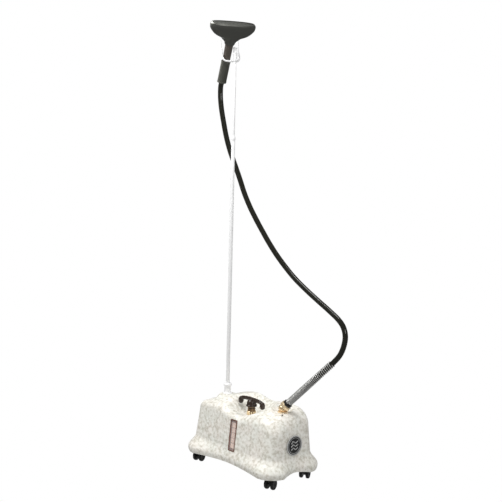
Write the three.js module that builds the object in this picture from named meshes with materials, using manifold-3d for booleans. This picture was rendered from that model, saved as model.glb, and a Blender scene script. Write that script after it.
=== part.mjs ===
// An upright garment steamer: a cast housing on four twin-wheel casters, a boiler inside it,
// a filler cap, a steam hose with a spring guard, and a pole whose hook holds the steam head.
// Millimetres, +Z up, the origin on the floor under the middle of the housing.
import * as THREE from 'three';
import { mergeVertices } from 'three/addons/utils/BufferGeometryUtils.js';
import Module from 'manifold-3d';

const wasm = await Module();
wasm.setup();

const GAP = 0.3; // between pieces that touch
const CUT = 1; // how far a cutter runs past the face that it cuts

// Housing casting
const SKIRT_LENGTH = 470;
const SKIRT_WIDTH = 256;
const LIP_Z = 38;
const LIP_ARCH = 7;
const WALL = 4;
const FOOT_FLARE = 27;
const BODY_END = SKIRT_LENGTH / 2 - FOOT_FLARE; // the walls above the feet
const BODY_SIDE = SKIRT_WIDTH / 2 - FOOT_FLARE;
const FLARE_TOP_Z = 100;
const BULGE_Z = 54;
const SIDE_FLARE = 0.34; // share of the flare that is left halfway between two feet
const LEFT_DRAFT = 0.09;
const RIGHT_DRAFT = 0.02;
const SIDE_DRAFT = 0.1;
const PLAN_RADIUS = 40;
const SHOULDER_RADIUS = 22;
const CROWN_RADIUS = 44;
const FRONT_FALL = 22; // how much lower the crown is along the front edge

// Seats machined into the crown of the housing
const CAP_X = 8;
const CAP_Y = -12;
const CAP_SEAT_Z = 198;
const CAP_SEAT_RADIUS = 24;
const SEAT_STEP = 0.7;
const FITTING_X = 151;
const FITTING_SEAT_Z = 235;
const FITTING_SEAT_RADIUS = 23;
const POLE_X = -135;
const POLE_SEAT_Z = 241;
const POLE_SEAT_RADIUS = 20;

// Casters
const CASTER_END_INSET = 48;
const CASTER_SIDE_INSET = 56;
const CASTER_X = SKIRT_LENGTH / 2 - CASTER_END_INSET;
const CASTER_Y = SKIRT_WIDTH / 2 - CASTER_SIDE_INSET;
const CASTER_TRAIL = 14;
const WHEEL_RADIUS = 18.4;
const WHEEL_WIDTH = 11;
const WHEEL_SPACING = 23;
const WHEEL_SIDES = 20;
const AXLE_RADIUS = 3;
const HOOD_WEB = 4;
const STEM_RADIUS = 4;
const SWIVEL_ANGLES = { left_front: -70, right_front: -70, right_rear: 120, left_rear: 100 };

// Base plate and boiler
const PLATE_Z = 56;
const PLATE_THICKNESS = 2;
const TANK_END_SPACE = 92;
const TANK_SIDE_SPACE = 36;
const TANK_LENGTH = 2 * (BODY_END - TANK_END_SPACE);
const TANK_WIDTH = 2 * (BODY_SIDE - TANK_SIDE_SPACE);
const TANK_Z = 68;
const TANK_HEIGHT = 116;
const TANK_WALL = 1.5;
const TANK_RADIUS = 18;
const ELEMENT_Z = 90;
const ELEMENT_ROD = 4;
const ELEMENT_REACH = 190;
const ELEMENT_BOSS_RADIUS = 16;

// Filler neck and cap
const NECK_BORE = 9.5;
const NECK_TUBE = 13;
const NECK_RING = 16;
const NECK_TEETH = 12;
const NECK_RING_HEIGHT = 13;
const NECK_COLLAR = 13.4;
const NECK_COLLAR_HEIGHT = 10;
const GASKET_THICKNESS = 2.4;
const CAP_FLANGE_RADIUS = 20;
const CAP_DOME_HEIGHT = 32;
const HANDLE_HALF_SPAN = 55;
const HANDLE_THICKNESS = 13;
const HANDLE_LOBE_RADIUS = 9.2;
const HANDLE_LOBE_HEIGHT = 25;
const PLUG_DEPTH = 12;

// Sight gauge in the front wall
const WINDOW_X = 10;
const WINDOW_Z = 139;
const WINDOW_WIDTH = 32;
const WINDOW_HEIGHT = 108;
const BEZEL_RIM = 4;
const BEZEL_DEPTH = 8;
const POCKET_DEPTH = 0.8;
const GLASS_THICKNESS = 2.5;
const GAUGE_TUBE_RADIUS = 4;
const GAUGE_INSET = 29;
const GAUGE_TUBE_Y = GAUGE_INSET - BODY_SIDE;

// Rear control panel
const PANEL_X = -58;
const PANEL_Z = 124;
const PANEL_WIDTH = 96;
const PANEL_HEIGHT = 64;
const PANEL_STAND = 2;
const PANEL_Y = BODY_SIDE + PANEL_STAND;
const ROCKER_WIDTH = 14;
const ROCKER_HEIGHT = 22;
const ROCKER_TILT = 14;
const GLAND_RADIUS = 9;
const GLAND_BORE = 4.4;
const LAMP_RADIUS = 5;

// End badge
const BADGE_Z = 136;
const BADGE_RADIUS = 34;
const BADGE_THICKNESS = 2.5;
const BADGE_STAND = 2;
const BADGE_SEAT_X = BODY_END + BADGE_STAND;

// Steam outlet, spring guard and hose
const OUTLET_Z = 249;
const OUTLET_RISE = 45.4;
const OUTLET_TURN = 25;
const NIPPLE_RADIUS = 8;
const UNION_RADIUS = 20;
const HOSE_RADIUS = 9;
const HOSE_SIDES = 8;
const HOSE_STEPS = 62;
const GUARD_RADIUS = 12.4;
const GUARD_START = 28.3;
const GUARD_END = 239.6;
const HOSE_START = 18.5;

// Pole and hook
const POLE_RADIUS = 6.5;
const UPPER_POLE_RADIUS = 4.8;
const SOCKET_RADIUS = 13;
const SOCKET_HEIGHT = 38;
const POLE_JOINT_Z = 1134;
const POLE_JOINT_DEPTH = 46;
const POLE_TOP_Z = 1444;
const HUB_RADIUS = 7;
const HUB_BOTTOM_Z = 1402;
const HUB_TOP_Z = 1450;

// Steam head, along its own axis from the fork of the hook
const FORK = new THREE.Vector3(-173, -9, 1404);
const HEAD_TURN = 72;
const HEAD_LEAN = 27;
const PRONG_SPAN = 62;
const PRONG_SHIFT = 11; // the fork sits off the head's axis, towards the pole
const PRONG_HEIGHT = 70;
const PRONG_RADIUS = 3.2;
const NECK_RADIUS = 13;
const NECK_TOP = 62;
const NOZZLE_TOP = 138;
const NOZZLE_HALF_LENGTH = 82;
const NOZZLE_HALF_DEPTH = 22;
const NOZZLE_WALL = 2.5;
const STEAM_HOLES = 9;
const GRIP_RADIUS = 16;
const GRIP_LENGTH = 78;
const HEAD_HOSE_DEPTH = 20;

const radians = THREE.MathUtils.degToRad;
const smooth = THREE.MathUtils.smoothstep;
const lerp = THREE.MathUtils.lerp;

const finish = {
  enamel: new THREE.MeshStandardMaterial({ color: 0xdedbd0, roughness: 0.5, metalness: 0 }),
  steel: new THREE.MeshStandardMaterial({ color: 0xa6a6a2, roughness: 0.35, metalness: 1 }),
  copper: new THREE.MeshStandardMaterial({ color: 0xb98a6b, roughness: 0.4, metalness: 1 }),
  brass: new THREE.MeshStandardMaterial({ color: 0xc9a25e, roughness: 0.3, metalness: 1 }),
  blackPlastic: new THREE.MeshStandardMaterial({ color: 0x1c1a19, roughness: 0.4, metalness: 0 }),
  headPlastic: new THREE.MeshStandardMaterial({ color: 0x3a3a37, roughness: 0.35, metalness: 0 }),
  rubber: new THREE.MeshStandardMaterial({ color: 0x1a1a19, roughness: 0.45, metalness: 0 }),
  whitePaint: new THREE.MeshStandardMaterial({ color: 0xf2f2f0, roughness: 0.35, metalness: 0 }),
  glass: new THREE.MeshStandardMaterial({ color: 0xd8c4b4, roughness: 0.1, metalness: 0 }),
  redLens: new THREE.MeshStandardMaterial({ color: 0x8c1f18, roughness: 0.2, metalness: 0 }),
};

// Solids: three.js shapes made into manifolds, so that they can be joined and cut.

function solid(geometry) {
  const bare = geometry.index ? geometry.toNonIndexed() : geometry.clone();
  bare.deleteAttribute('normal');
  bare.deleteAttribute('uv');
  const merged = mergeVertices(bare, 1e-3);
  return new wasm.Manifold(new wasm.Mesh({
    numProp: 3,
    vertProperties: new Float32Array(merged.attributes.position.array),
    triVerts: new Uint32Array(merged.index.array),
  }));
}

function geometryOf(body) {
  const mesh = body.getMesh();
  const geometry = new THREE.BufferGeometry();
  geometry.setAttribute('position', new THREE.BufferAttribute(mesh.vertProperties, 3));
  geometry.setIndex(new THREE.BufferAttribute(mesh.triVerts, 1));
  geometry.computeVertexNormals();
  return geometry;
}

function moved(geometry, x, y, z) {
  return geometry.translate(x, y, z);
}

// A rod along Z from z0 to z1.
function rod(radius, z0, z1, sides = 18, topRadius = radius) {
  const geometry = new THREE.CylinderGeometry(topRadius, radius, z1 - z0, sides);
  return moved(geometry.rotateX(Math.PI / 2), 0, 0, (z0 + z1) / 2);
}

function block(x0, x1, y0, y1, z0, z1) {
  const geometry = new THREE.BoxGeometry(x1 - x0, y1 - y0, z1 - z0);
  return moved(geometry, (x0 + x1) / 2, (y0 + y1) / 2, (z0 + z1) / 2);
}

function ring(outer, inner, z0, z1, sides = 18) {
  return solid(rod(outer, z0, z1, sides)).subtract(solid(rod(inner, z0 - CUT, z1 + CUT, sides)));
}

// A turned piece about Z from [radius, z] pairs that start and end on the axis or close.
function turned(profile, sides = 18) {
  const points = profile.map(([radius, z]) => new THREE.Vector2(radius, z));
  return new THREE.LatheGeometry(points, sides).rotateX(Math.PI / 2);
}

function roundedOutline(width, height, radius) {
  const [w, h] = [width / 2, height / 2];
  const outline = new THREE.Shape();
  outline.moveTo(-w + radius, -h).lineTo(w - radius, -h);
  outline.absarc(w - radius, -h + radius, radius, -Math.PI / 2, 0);
  outline.absarc(w - radius, h - radius, radius, 0, Math.PI / 2);
  outline.absarc(-w + radius, h - radius, radius, Math.PI / 2, Math.PI);
  outline.absarc(-w + radius, -h + radius, radius, Math.PI, 1.5 * Math.PI);
  return outline;
}

function slab(outline, thickness, curveSegments = 2) {
  return new THREE.ExtrudeGeometry(outline, { depth: thickness, bevelEnabled: false, curveSegments });
}

// A round bar along a curve.
function bar(curve, radius, steps, sides = 10) {
  const section = new THREE.Shape().absarc(0, 0, radius, 0, 2 * Math.PI);
  return new THREE.ExtrudeGeometry(section, {
    steps, extrudePath: curve, bevelEnabled: false, curveSegments: sides / 2,
  });
}

// A closed skin over rings of equal point counts, closed by a fan at each end.
function loft(rings, closeTop = null) {
  const count = rings[0].length;
  const middle = (points) => points.reduce((sum, p) => sum.add(p), new THREE.Vector3())
    .divideScalar(points.length);
  const points = [...rings.flat(), middle(rings[0]), closeTop ?? middle(rings.at(-1))];
  const [bottom, top] = [points.length - 2, points.length - 1];
  const faces = [];
  for (let k = 0; k < rings.length - 1; k++) {
    for (let i = 0; i < count; i++) {
      const [a, b] = [k * count + i, k * count + (i + 1) % count];
      faces.push(a, b, b + count, a, b + count, a + count);
    }
  }
  const last = (rings.length - 1) * count;
  for (let i = 0; i < count; i++) {
    faces.push(bottom, (i + 1) % count, i);
    faces.push(top, last + i, last + (i + 1) % count);
  }
  const geometry = new THREE.BufferGeometry().setFromPoints(points);
  geometry.setIndex(faces);
  return geometry;
}

// The housing's form: how wide it is at a height, and how high its crown is at a place.

// The crown's height along the housing, before the seats, as a curve through a few stations.
const crownLine = new THREE.SplineCurve([
  [-1, 208], [-0.78, 226], [-0.42, 246], [0, 251], [0.3, 246], [0.62, 245], [0.84, 238], [1, 226],
].map(([share, z]) => new THREE.Vector2(share * BODY_END, z)));

function crownAt(x) {
  const target = THREE.MathUtils.clamp(x, -BODY_END, BODY_END);
  let [low, high] = [0, 1];
  for (let i = 0; i < 24; i++) {
    const half = (low + high) / 2;
    if (crownLine.getPoint(half).x < target) low = half;
    else high = half;
  }
  return crownLine.getPoint(low).y;
}

const seats = [
  { x: CAP_X, y: CAP_Y, z: CAP_SEAT_Z, flat: CAP_SEAT_RADIUS, ends: 100, front: 118, back: 112 },
  { x: FITTING_X, y: 0, z: FITTING_SEAT_Z, flat: FITTING_SEAT_RADIUS, ends: 44, front: 50, back: 44 },
  { x: POLE_X, y: 0, z: POLE_SEAT_Z, flat: POLE_SEAT_RADIUS, ends: 42, front: 42, back: 42 },
];

function crown(x, y) {
  const front = smooth(-y, 10, BODY_SIDE - 15) * smooth(x, -BODY_END, -BODY_END / 3);
  let z = crownAt(x) - FRONT_FALL * front;
  for (const seat of seats) {
    const away = Math.hypot(x - seat.x, y - seat.y);
    const angle = Math.atan2(y - seat.y, x - seat.x);
    const side = y < seat.y ? seat.front : seat.back;
    const edge = 1 / Math.hypot(Math.cos(angle) / seat.ends, Math.sin(angle) / side);
    z = lerp(z, seat.z, 1 - smooth(away, seat.flat + 2, edge));
  }
  return z;
}

// One level of the wall, drawn in by inset, with the feet flared out at the corners.
function wallRing(level, inset, height) {
  const [cornerSteps, longSteps, shortSteps] = [5, 7, 4];
  const above = Math.max(0, level - FLARE_TOP_Z);
  const left = BODY_END - LEFT_DRAFT * above - inset;
  const right = BODY_END - RIGHT_DRAFT * above - inset;
  const side = BODY_SIDE - SIDE_DRAFT * above - inset;
  const radius = Math.max(6, PLAN_RADIUS - inset);
  const points = [];
  const put = (x, y, nx, ny, corner) => {
    const rise = THREE.MathUtils.clamp((FLARE_TOP_Z - level) / (FLARE_TOP_Z - BULGE_Z), 0, 1);
    const tuck = THREE.MathUtils.clamp((BULGE_Z - level) / (BULGE_Z - LIP_Z), 0, 1);
    const share = lerp(SIDE_FLARE, 1, corner);
    const flare = share * (FOOT_FLARE * smooth(rise, 0, 1) - 4 * tuck * tuck);
    const z = height(x, y) + (1 - corner) * LIP_ARCH * smooth(FLARE_TOP_Z - level, 20, 64);
    points.push(new THREE.Vector3(x + nx * flare, y + ny * flare, z));
  };
  const corners = [[right, side, 0], [-left, side, 1], [-left, -side, 2], [right, -side, 3]];
  for (const [x, y, quarter] of corners) {
    const [cx, cy] = [x - Math.sign(x) * radius, y - Math.sign(y) * radius];
    for (let i = 0; i <= cornerSteps; i++) {
      const angle = (quarter + i / cornerSteps) * Math.PI / 2;
      const [nx, ny] = [Math.cos(angle), Math.sin(angle)];
      put(cx + radius * nx, cy + radius * ny, nx, ny, 1);
    }
    const [nextX, nextY] = corners[(quarter + 1) % 4];
    const alongX = quarter % 2 === 0;
    const steps = alongX ? longSteps : shortSteps;
    const [fromX, fromY] = alongX ? [cx, y] : [x, cy];
    const toX = alongX ? nextX - Math.sign(nextX) * radius : x;
    const toY = alongX ? y : nextY - Math.sign(nextY) * radius;
    const angle = (quarter + 1) * Math.PI / 2;
    for (let i = 1; i < steps; i++) {
      const t = i / steps;
      const corner = Math.abs(2 * t - 1) ** 1.6;
      put(lerp(fromX, toX, t), lerp(fromY, toY, t), Math.cos(angle), Math.sin(angle), corner);
    }
  }
  return points;
}

const flareLevels = [LIP_Z, 45, BULGE_Z, 63, 72, 81, 90, FLARE_TOP_Z];
const innerLevels = [LIP_Z, BULGE_Z, 68, 84, FLARE_TOP_Z];

function housingForm(inset, bottom, levels = flareLevels) {
  const rings = [];
  if (bottom < LIP_Z) rings.push(wallRing(LIP_Z, inset, () => bottom));
  for (const level of levels) rings.push(wallRing(level, inset, () => level));
  const edge = (x) => lerp(SHOULDER_RADIUS, CROWN_RADIUS, smooth(x, -BODY_END, BODY_END));
  const top = (x, y) => crown(x, y) - inset;
  for (const share of [0.5, 1]) {
    const level = lerp(FLARE_TOP_Z, CAP_SEAT_Z, share);
    rings.push(wallRing(level, inset, (x, y) => lerp(FLARE_TOP_Z, top(x, y) - edge(x), share)));
  }
  const rim = rings.at(-1);
  for (const turn of [22, 45, 67, 90]) {
    const angle = radians(turn);
    rings.push(rim.map((p) => {
      const radius = edge(p.x);
      const run = Math.hypot(p.x, p.y);
      const draw = radius * (1 - Math.cos(angle)) / run;
      const [x, y] = [p.x * (1 - draw), p.y * (1 - draw)];
      return new THREE.Vector3(x, y, top(x, y) - radius * (1 - Math.sin(angle)));
    }));
  }
  const brow = rings.at(-1);
  for (const share of [0.8, 0.6, 0.4, 0.2]) {
    rings.push(brow.map((p) => {
      const [x, y] = [p.x * share, p.y * share];
      return new THREE.Vector3(x, y, top(x, y));
    }));
  }
  return loft(rings, new THREE.Vector3(0, 0, top(0, 0)));
}

const windowTilt = Math.atan(SIDE_DRAFT);
const windowY = -(BODY_SIDE - SIDE_DRAFT * (WINDOW_Z - FLARE_TOP_Z)) + POCKET_DEPTH;

// Stands a piece made flat on XY, facing +Z, in the front wall where the gauge is.
function inWindow(geometry) {
  return moved(geometry.rotateX(Math.PI / 2 - windowTilt), WINDOW_X, windowY, WINDOW_Z);
}

function onPanel(geometry) {
  return moved(geometry.rotateX(-Math.PI / 2), 0, PANEL_Y, 0);
}

const [ROCKER_X, LAMP_X, GLAND_X] = [PANEL_X + 26, PANEL_X, PANEL_X - 28];

function housingShell() {
  let shell = solid(housingForm(0, LIP_Z)).subtract(solid(housingForm(WALL, LIP_Z - 20, innerLevels)));
  for (const seat of seats) {
    const at = (geometry) => solid(moved(geometry, seat.x, seat.y, 0));
    shell = shell.subtract(at(rod(seat.flat + 2, seat.z - SEAT_STEP, seat.z + 12)));
    shell = shell.add(at(rod(seat.flat, seat.z - WALL - 1, seat.z, 24)));
  }
  const frame = slab(roundedOutline(WINDOW_WIDTH + 12, WINDOW_HEIGHT + 12, 8), 6);
  const pocket = slab(roundedOutline(WINDOW_WIDTH + 2 * GAP, WINDOW_HEIGHT + 2 * GAP, 4 + GAP), 20);
  shell = shell.add(solid(inWindow(moved(frame, 0, 0, -6.5))))
    .subtract(solid(inWindow(moved(pocket, 0, 0, 0))));
  const panel = roundedOutline(PANEL_WIDTH, PANEL_HEIGHT, 8);
  const depth = PANEL_Y - BODY_SIDE + 12;
  const boss = slab(panel, depth).rotateX(-Math.PI / 2);
  shell = shell.add(solid(moved(boss, PANEL_X, PANEL_Y - depth, PANEL_Z)));
  const seatRod = rod(BADGE_RADIUS + 2, 0, 10, 28).rotateY(Math.PI / 2);
  shell = shell.add(solid(moved(seatRod, BADGE_SEAT_X - 10, 0, BADGE_Z)));
  const holes = [
    moved(rod(NECK_TUBE + GAP, CAP_SEAT_Z - 20, CAP_SEAT_Z + CUT), CAP_X, CAP_Y, 0),
    moved(rod(NIPPLE_RADIUS + 2, FITTING_SEAT_Z - 20, FITTING_SEAT_Z + CUT), FITTING_X, 0, 0),
    moved(rod(STEM_RADIUS + GAP, POLE_SEAT_Z - 20, POLE_SEAT_Z + CUT), POLE_X, 0, 0),
    inWindow(moved(slab(roundedOutline(WINDOW_WIDTH - 2 * BEZEL_RIM + 2 + 2 * GAP,
      WINDOW_HEIGHT - 2 * BEZEL_RIM + 2 + 2 * GAP, 3), 60), 0, 0, -30)),
    onPanel(moved(slab(roundedOutline(ROCKER_WIDTH + 6 + 2 * GAP, ROCKER_HEIGHT + 6 + 2 * GAP, 2),
      60), ROCKER_X, -PANEL_Z, -50)),
    onPanel(moved(rod(LAMP_RADIUS + GAP, -50, 10), LAMP_X, -PANEL_Z, 0)),
    onPanel(moved(rod(GLAND_RADIUS + GAP, -50, 10), GLAND_X, -PANEL_Z, 0)),
  ];
  for (const hole of holes) shell = shell.subtract(solid(hole));
  return shell;
}

// Plate and boiler

const casterPlaces = [
  ['left_front', -CASTER_X, -CASTER_Y], ['right_front', CASTER_X, -CASTER_Y],
  ['right_rear', CASTER_X, CASTER_Y], ['left_rear', -CASTER_X, CASTER_Y],
];

function basePlate() {
  const level = PLATE_Z + PLATE_THICKNESS / 2;
  const edge = wallRing(level, WALL + 2.5, () => 0).map((p) => new THREE.Vector2(p.x, p.y));
  let plate = solid(moved(slab(new THREE.Shape(edge), PLATE_THICKNESS), 0, 0, PLATE_Z));
  for (const [, x, y] of casterPlaces) {
    const hole = rod(STEM_RADIUS + 3 + GAP, PLATE_Z - CUT, PLATE_Z + PLATE_THICKNESS + CUT);
    plate = plate.subtract(solid(moved(hole, x, y, 0)));
  }
  for (const x of [-36, 0, 36]) {
    const vent = moved(slab(roundedOutline(10, 60, 4.9), 8), x, 0, PLATE_Z - 3);
    plate = plate.subtract(solid(vent));
  }
  return plate;
}

function boilerTank() {
  const form = (shrink) => {
    const outline = roundedOutline(TANK_LENGTH - 2 * shrink, TANK_WIDTH - 2 * shrink,
      TANK_RADIUS - shrink);
    const bevel = 8;
    return solid(moved(new THREE.ExtrudeGeometry(outline, {
      depth: TANK_HEIGHT - 2 * shrink - 2 * bevel, bevelEnabled: true, bevelThickness: bevel,
      bevelSize: bevel, bevelOffset: -bevel, bevelSegments: 1, curveSegments: 2,
    }), 0, 0, TANK_Z + shrink + bevel));
  };
  const tankTop = TANK_Z + TANK_HEIGHT;
  const bung = rod(ELEMENT_BOSS_RADIUS + GAP, 0, 20).rotateY(Math.PI / 2);
  const outlet = rod(NIPPLE_RADIUS + GAP, tankTop - 10, tankTop + CUT);
  return form(0).subtract(form(TANK_WALL))
    .subtract(solid(moved(rod(NECK_BORE, tankTop - 10, tankTop + CUT), CAP_X, CAP_Y, 0)))
    .subtract(solid(moved(outlet, TANK_LENGTH / 2 - 24, 0, 0)))
    .subtract(solid(moved(bung, -TANK_LENGTH / 2 - 10, 0, ELEMENT_Z)));
}

function boilerSaddle(x) {
  const [y, lip] = [TANK_WIDTH / 2 + GAP, 3];
  const floor = PLATE_Z + PLATE_THICKNESS + GAP;
  const bed = block(x - 10, x + 10, -y - lip, y + lip, floor, TANK_Z - GAP);
  return [-1, 1].reduce((body, sign) => {
    const cheek = block(x - 10, x + 10, -lip / 2, lip / 2, floor, TANK_Z + 26);
    return body.add(solid(moved(cheek, 0, sign * (y + lip / 2), 0)));
  }, solid(bed));
}

function heatingElement() {
  const wallX = -TANK_LENGTH / 2;
  const far = wallX + ELEMENT_REACH;
  const hairpin = new THREE.CurvePath();
  const at = (x, y) => new THREE.Vector3(x, y, ELEMENT_Z);
  const bend = 9;
  hairpin.add(new THREE.LineCurve3(at(wallX, -bend), at(far, -bend)));
  hairpin.add(new THREE.CubicBezierCurve3(at(far, -bend), at(far + 12, -bend), at(far + 12, bend),
    at(far, bend)));
  hairpin.add(new THREE.LineCurve3(at(far, bend), at(wallX, bend)));
  const bung = rod(ELEMENT_BOSS_RADIUS, 0, 14).rotateY(Math.PI / 2);
  const flange = rod(ELEMENT_BOSS_RADIUS + 6, 0, 4, 6).rotateY(Math.PI / 2);
  return solid(bar(hairpin, ELEMENT_ROD, 30, 6))
    .add(solid(moved(bung, wallX - 6, 0, ELEMENT_Z)))
    .add(solid(moved(flange, wallX - 4 - GAP, 0, ELEMENT_Z)));
}

function thermostat() {
  const wallX = -TANK_LENGTH / 2 - GAP;
  const body = turned([[0, 0], [14, 0], [14, 5], [9, 5], [9, 12], [0, 12]], 20);
  const spade = block(-0.5, 0.5, -2.5, 2.5, 11, 20);
  return solid(body).add(solid(moved(spade, 4, 0, 0))).add(solid(moved(spade.clone(), -8, 0, 0)))
    .rotate(0, -90, 0).translate(wallX, 0, ELEMENT_Z + 46);
}

// Filler neck and cap

const neckTop = CAP_SEAT_Z + GAP + NECK_RING_HEIGHT + NECK_COLLAR_HEIGHT;

function fillerNeck() {
  const points = [];
  const root = NECK_RING - 3.4;
  for (let i = 0; i < NECK_TEETH; i++) {
    for (const [share, radius] of [[0, root], [0.28, root], [0.36, NECK_RING], [0.92, NECK_RING]]) {
      const angle = (i + share) / NECK_TEETH * 2 * Math.PI;
      points.push(new THREE.Vector2(radius * Math.cos(angle), radius * Math.sin(angle)));
    }
  }
  const crownRing = moved(slab(new THREE.Shape(points), NECK_RING_HEIGHT), 0, 0, CAP_SEAT_Z + GAP);
  return solid(crownRing)
    .add(solid(rod(NECK_TUBE, TANK_Z + TANK_HEIGHT + GAP, CAP_SEAT_Z + 4)))
    .add(solid(rod(NECK_COLLAR, CAP_SEAT_Z + 4, neckTop)))
    .subtract(solid(rod(NECK_BORE, CAP_SEAT_Z - 30, neckTop + CUT)))
    .translate(CAP_X, CAP_Y, 0);
}

function capGasket() {
  return ring(NECK_RING - 3, NECK_BORE, neckTop + GAP, neckTop + GAP + GASKET_THICKNESS);
}

const flangeZ = neckTop + 2 * GAP + GASKET_THICKNESS;

function capPlug() {
  const stem = NECK_BORE - GAP - 0.2;
  return solid(turned([[0, neckTop - PLUG_DEPTH], [stem - 1, neckTop - PLUG_DEPTH],
    [stem, neckTop - PLUG_DEPTH + 1.5], [stem, flangeZ], [CAP_FLANGE_RADIUS - 6, flangeZ],
    [CAP_FLANGE_RADIUS - 5, flangeZ + 3], [0, flangeZ + 3]]));
}

function capHandle() {
  const base = flangeZ + 3 + GAP;
  const dome = turned([[0, base], [CAP_FLANGE_RADIUS - 1, base], [CAP_FLANGE_RADIUS, base + 3],
    [CAP_FLANGE_RADIUS - 3, base + 7], [CAP_FLANGE_RADIUS - 4, base + 16], [12, base + 22],
    [7, base + CAP_DOME_HEIGHT - 4], [0, base + CAP_DOME_HEIGHT - 2]]);
  const at = (x, z) => new THREE.Vector3(x, 0, z);
  const top = base + CAP_DOME_HEIGHT - HANDLE_THICKNESS / 2 - 2;
  const reach = HANDLE_HALF_SPAN;
  const arch = new THREE.CatmullRomCurve3([
    at(-reach, base + 12), at(-reach + 6, top - 4), at(-26, top), at(0, top + 1), at(26, top),
    at(reach - 6, top - 4), at(reach, base + 12),
  ]);
  const lobe = turned([[0, 0], [5.5, 0.6], [HANDLE_LOBE_RADIUS, 6],
    [HANDLE_LOBE_RADIUS, HANDLE_LOBE_HEIGHT - 9], [5.5, HANDLE_LOBE_HEIGHT - 1],
    [0, HANDLE_LOBE_HEIGHT]], 14);
  const lobes = [-reach, reach].map((x) => solid(moved(lobe.clone(), x, 0, base - 1)));
  return lobes.reduce((body, end) => body.add(end),
    solid(dome).add(solid(bar(arch, HANDLE_THICKNESS / 2, 20, 10))));
}

// Sight gauge

function windowBezel() {
  const face = slab(roundedOutline(WINDOW_WIDTH, WINDOW_HEIGHT, 4), 1.6);
  const sleeveWidth = WINDOW_WIDTH - 2 * BEZEL_RIM + 2;
  const sleeveHeight = WINDOW_HEIGHT - 2 * BEZEL_RIM + 2;
  const sleeve = slab(roundedOutline(sleeveWidth, sleeveHeight, 2.6), BEZEL_DEPTH);
  const bore = slab(roundedOutline(sleeveWidth - 3, sleeveHeight - 3, 1.4), BEZEL_DEPTH + 10);
  return solid(inWindow(moved(face, 0, 0, GAP)))
    .add(solid(inWindow(moved(sleeve, 0, 0, 1 - BEZEL_DEPTH))))
    .subtract(solid(inWindow(moved(bore, 0, 0, -BEZEL_DEPTH - 2))));
}

function windowGlass() {
  const width = WINDOW_WIDTH - 2 * BEZEL_RIM - 1 - 2 * GAP;
  const height = WINDOW_HEIGHT - 2 * BEZEL_RIM - 1 - 2 * GAP;
  const pane = slab(roundedOutline(width, height, 1.1), GLASS_THICKNESS);
  return solid(inWindow(moved(pane, 0, 0, -GLASS_THICKNESS)));
}

const gaugeLow = WINDOW_Z - WINDOW_HEIGHT / 2 + 18;
const gaugeHigh = WINDOW_Z + WINDOW_HEIGHT / 2 - 22;

function gaugeTube() {
  return solid(moved(rod(GAUGE_TUBE_RADIUS, gaugeLow + 3, gaugeHigh - 3, 16), WINDOW_X,
    GAUGE_TUBE_Y, 0));
}

function gaugeFitting(z, facing) {
  const cup = solid(moved(rod(GAUGE_TUBE_RADIUS + 2.4, z - 5, z + 5, 6), WINDOW_X, GAUGE_TUBE_Y, 0));
  const socket = moved(rod(GAUGE_TUBE_RADIUS + GAP, z, z + facing * 20, 16), WINDOW_X,
    GAUGE_TUBE_Y, 0);
  const hollow = facing > 0 ? socket : moved(rod(GAUGE_TUBE_RADIUS + GAP, z - 20, z, 16),
    WINDOW_X, GAUGE_TUBE_Y, 0);
  const stub = block(WINDOW_X - 3, WINDOW_X + 3, GAUGE_TUBE_Y + 4.5, -TANK_WIDTH / 2 - GAP,
    z - 3.5, z + 3.5);
  return cup.subtract(solid(hollow)).add(solid(stub));
}

// Rear panel

function switchBody() {
  const [width, height] = [ROCKER_WIDTH + 6, ROCKER_HEIGHT + 6];
  const can = moved(slab(roundedOutline(width, height, 2), 20), ROCKER_X, -PANEL_Z, -19);
  const rim = moved(slab(roundedOutline(width + 5, height + 5, 3), 2), ROCKER_X, -PANEL_Z, GAP);
  const well = moved(slab(roundedOutline(ROCKER_WIDTH + 1, ROCKER_HEIGHT + 1, 1), 20), ROCKER_X,
    -PANEL_Z, -12);
  const tabs = block(-6, 6, -3, 3, -25, -18);
  return solid(onPanel(can)).add(solid(onPanel(rim)))
    .add(solid(onPanel(moved(tabs, ROCKER_X, -PANEL_Z, 0))))
    .subtract(solid(onPanel(well)));
}

function switchRocker() {
  const side = new THREE.Shape();
  const half = ROCKER_HEIGHT / 2 - 0.6;
  const tilt = Math.tan(radians(ROCKER_TILT / 2)) * half;
  side.moveTo(-half + 1.6, -5.5).lineTo(half - 1.6, -5.5).lineTo(half, 2.6 - tilt);
  side.quadraticCurveTo(0, 0.2, -half, 2.6 + tilt);
  const width = ROCKER_WIDTH - 0.6;
  return solid(moved(slab(side, width).rotateY(Math.PI / 2), -width / 2, 0, 0));
}

function pilotLamp() {
  const lens = turned([[0, -16], [LAMP_RADIUS - 0.2, -16], [LAMP_RADIUS - 0.2, GAP],
    [LAMP_RADIUS + 1.8, GAP], [LAMP_RADIUS + 1.4, 2], [LAMP_RADIUS - 1, 3.6], [0, 4.6]], 20);
  return solid(onPanel(moved(lens, LAMP_X, -PANEL_Z, 0)));
}

function cordGland() {
  const body = turned([[0, -14], [GLAND_RADIUS, -14], [GLAND_RADIUS, GAP],
    [GLAND_RADIUS + 3, GAP], [GLAND_RADIUS + 3, 4], [GLAND_RADIUS - 1, 5], [GLAND_RADIUS - 2.6, 14],
    [0, 14]], 20);
  const bore = rod(GLAND_BORE, -15, 15, 16);
  return solid(onPanel(moved(body, GLAND_X, -PANEL_Z, 0)))
    .subtract(solid(onPanel(moved(bore, GLAND_X, -PANEL_Z, 0))));
}

function terminalBlock() {
  const floor = PLATE_Z + PLATE_THICKNESS + GAP;
  const [x, y] = [-TANK_LENGTH / 2 - 38, 30];
  let body = solid(block(x - 9, x + 9, y - 20, y + 20, floor, floor + 16));
  for (const offset of [-12, 0, 12]) {
    body = body.subtract(solid(moved(rod(2.6, floor + 8, floor + 20, 12), x, y + offset, 0)));
  }
  return body;
}

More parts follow.
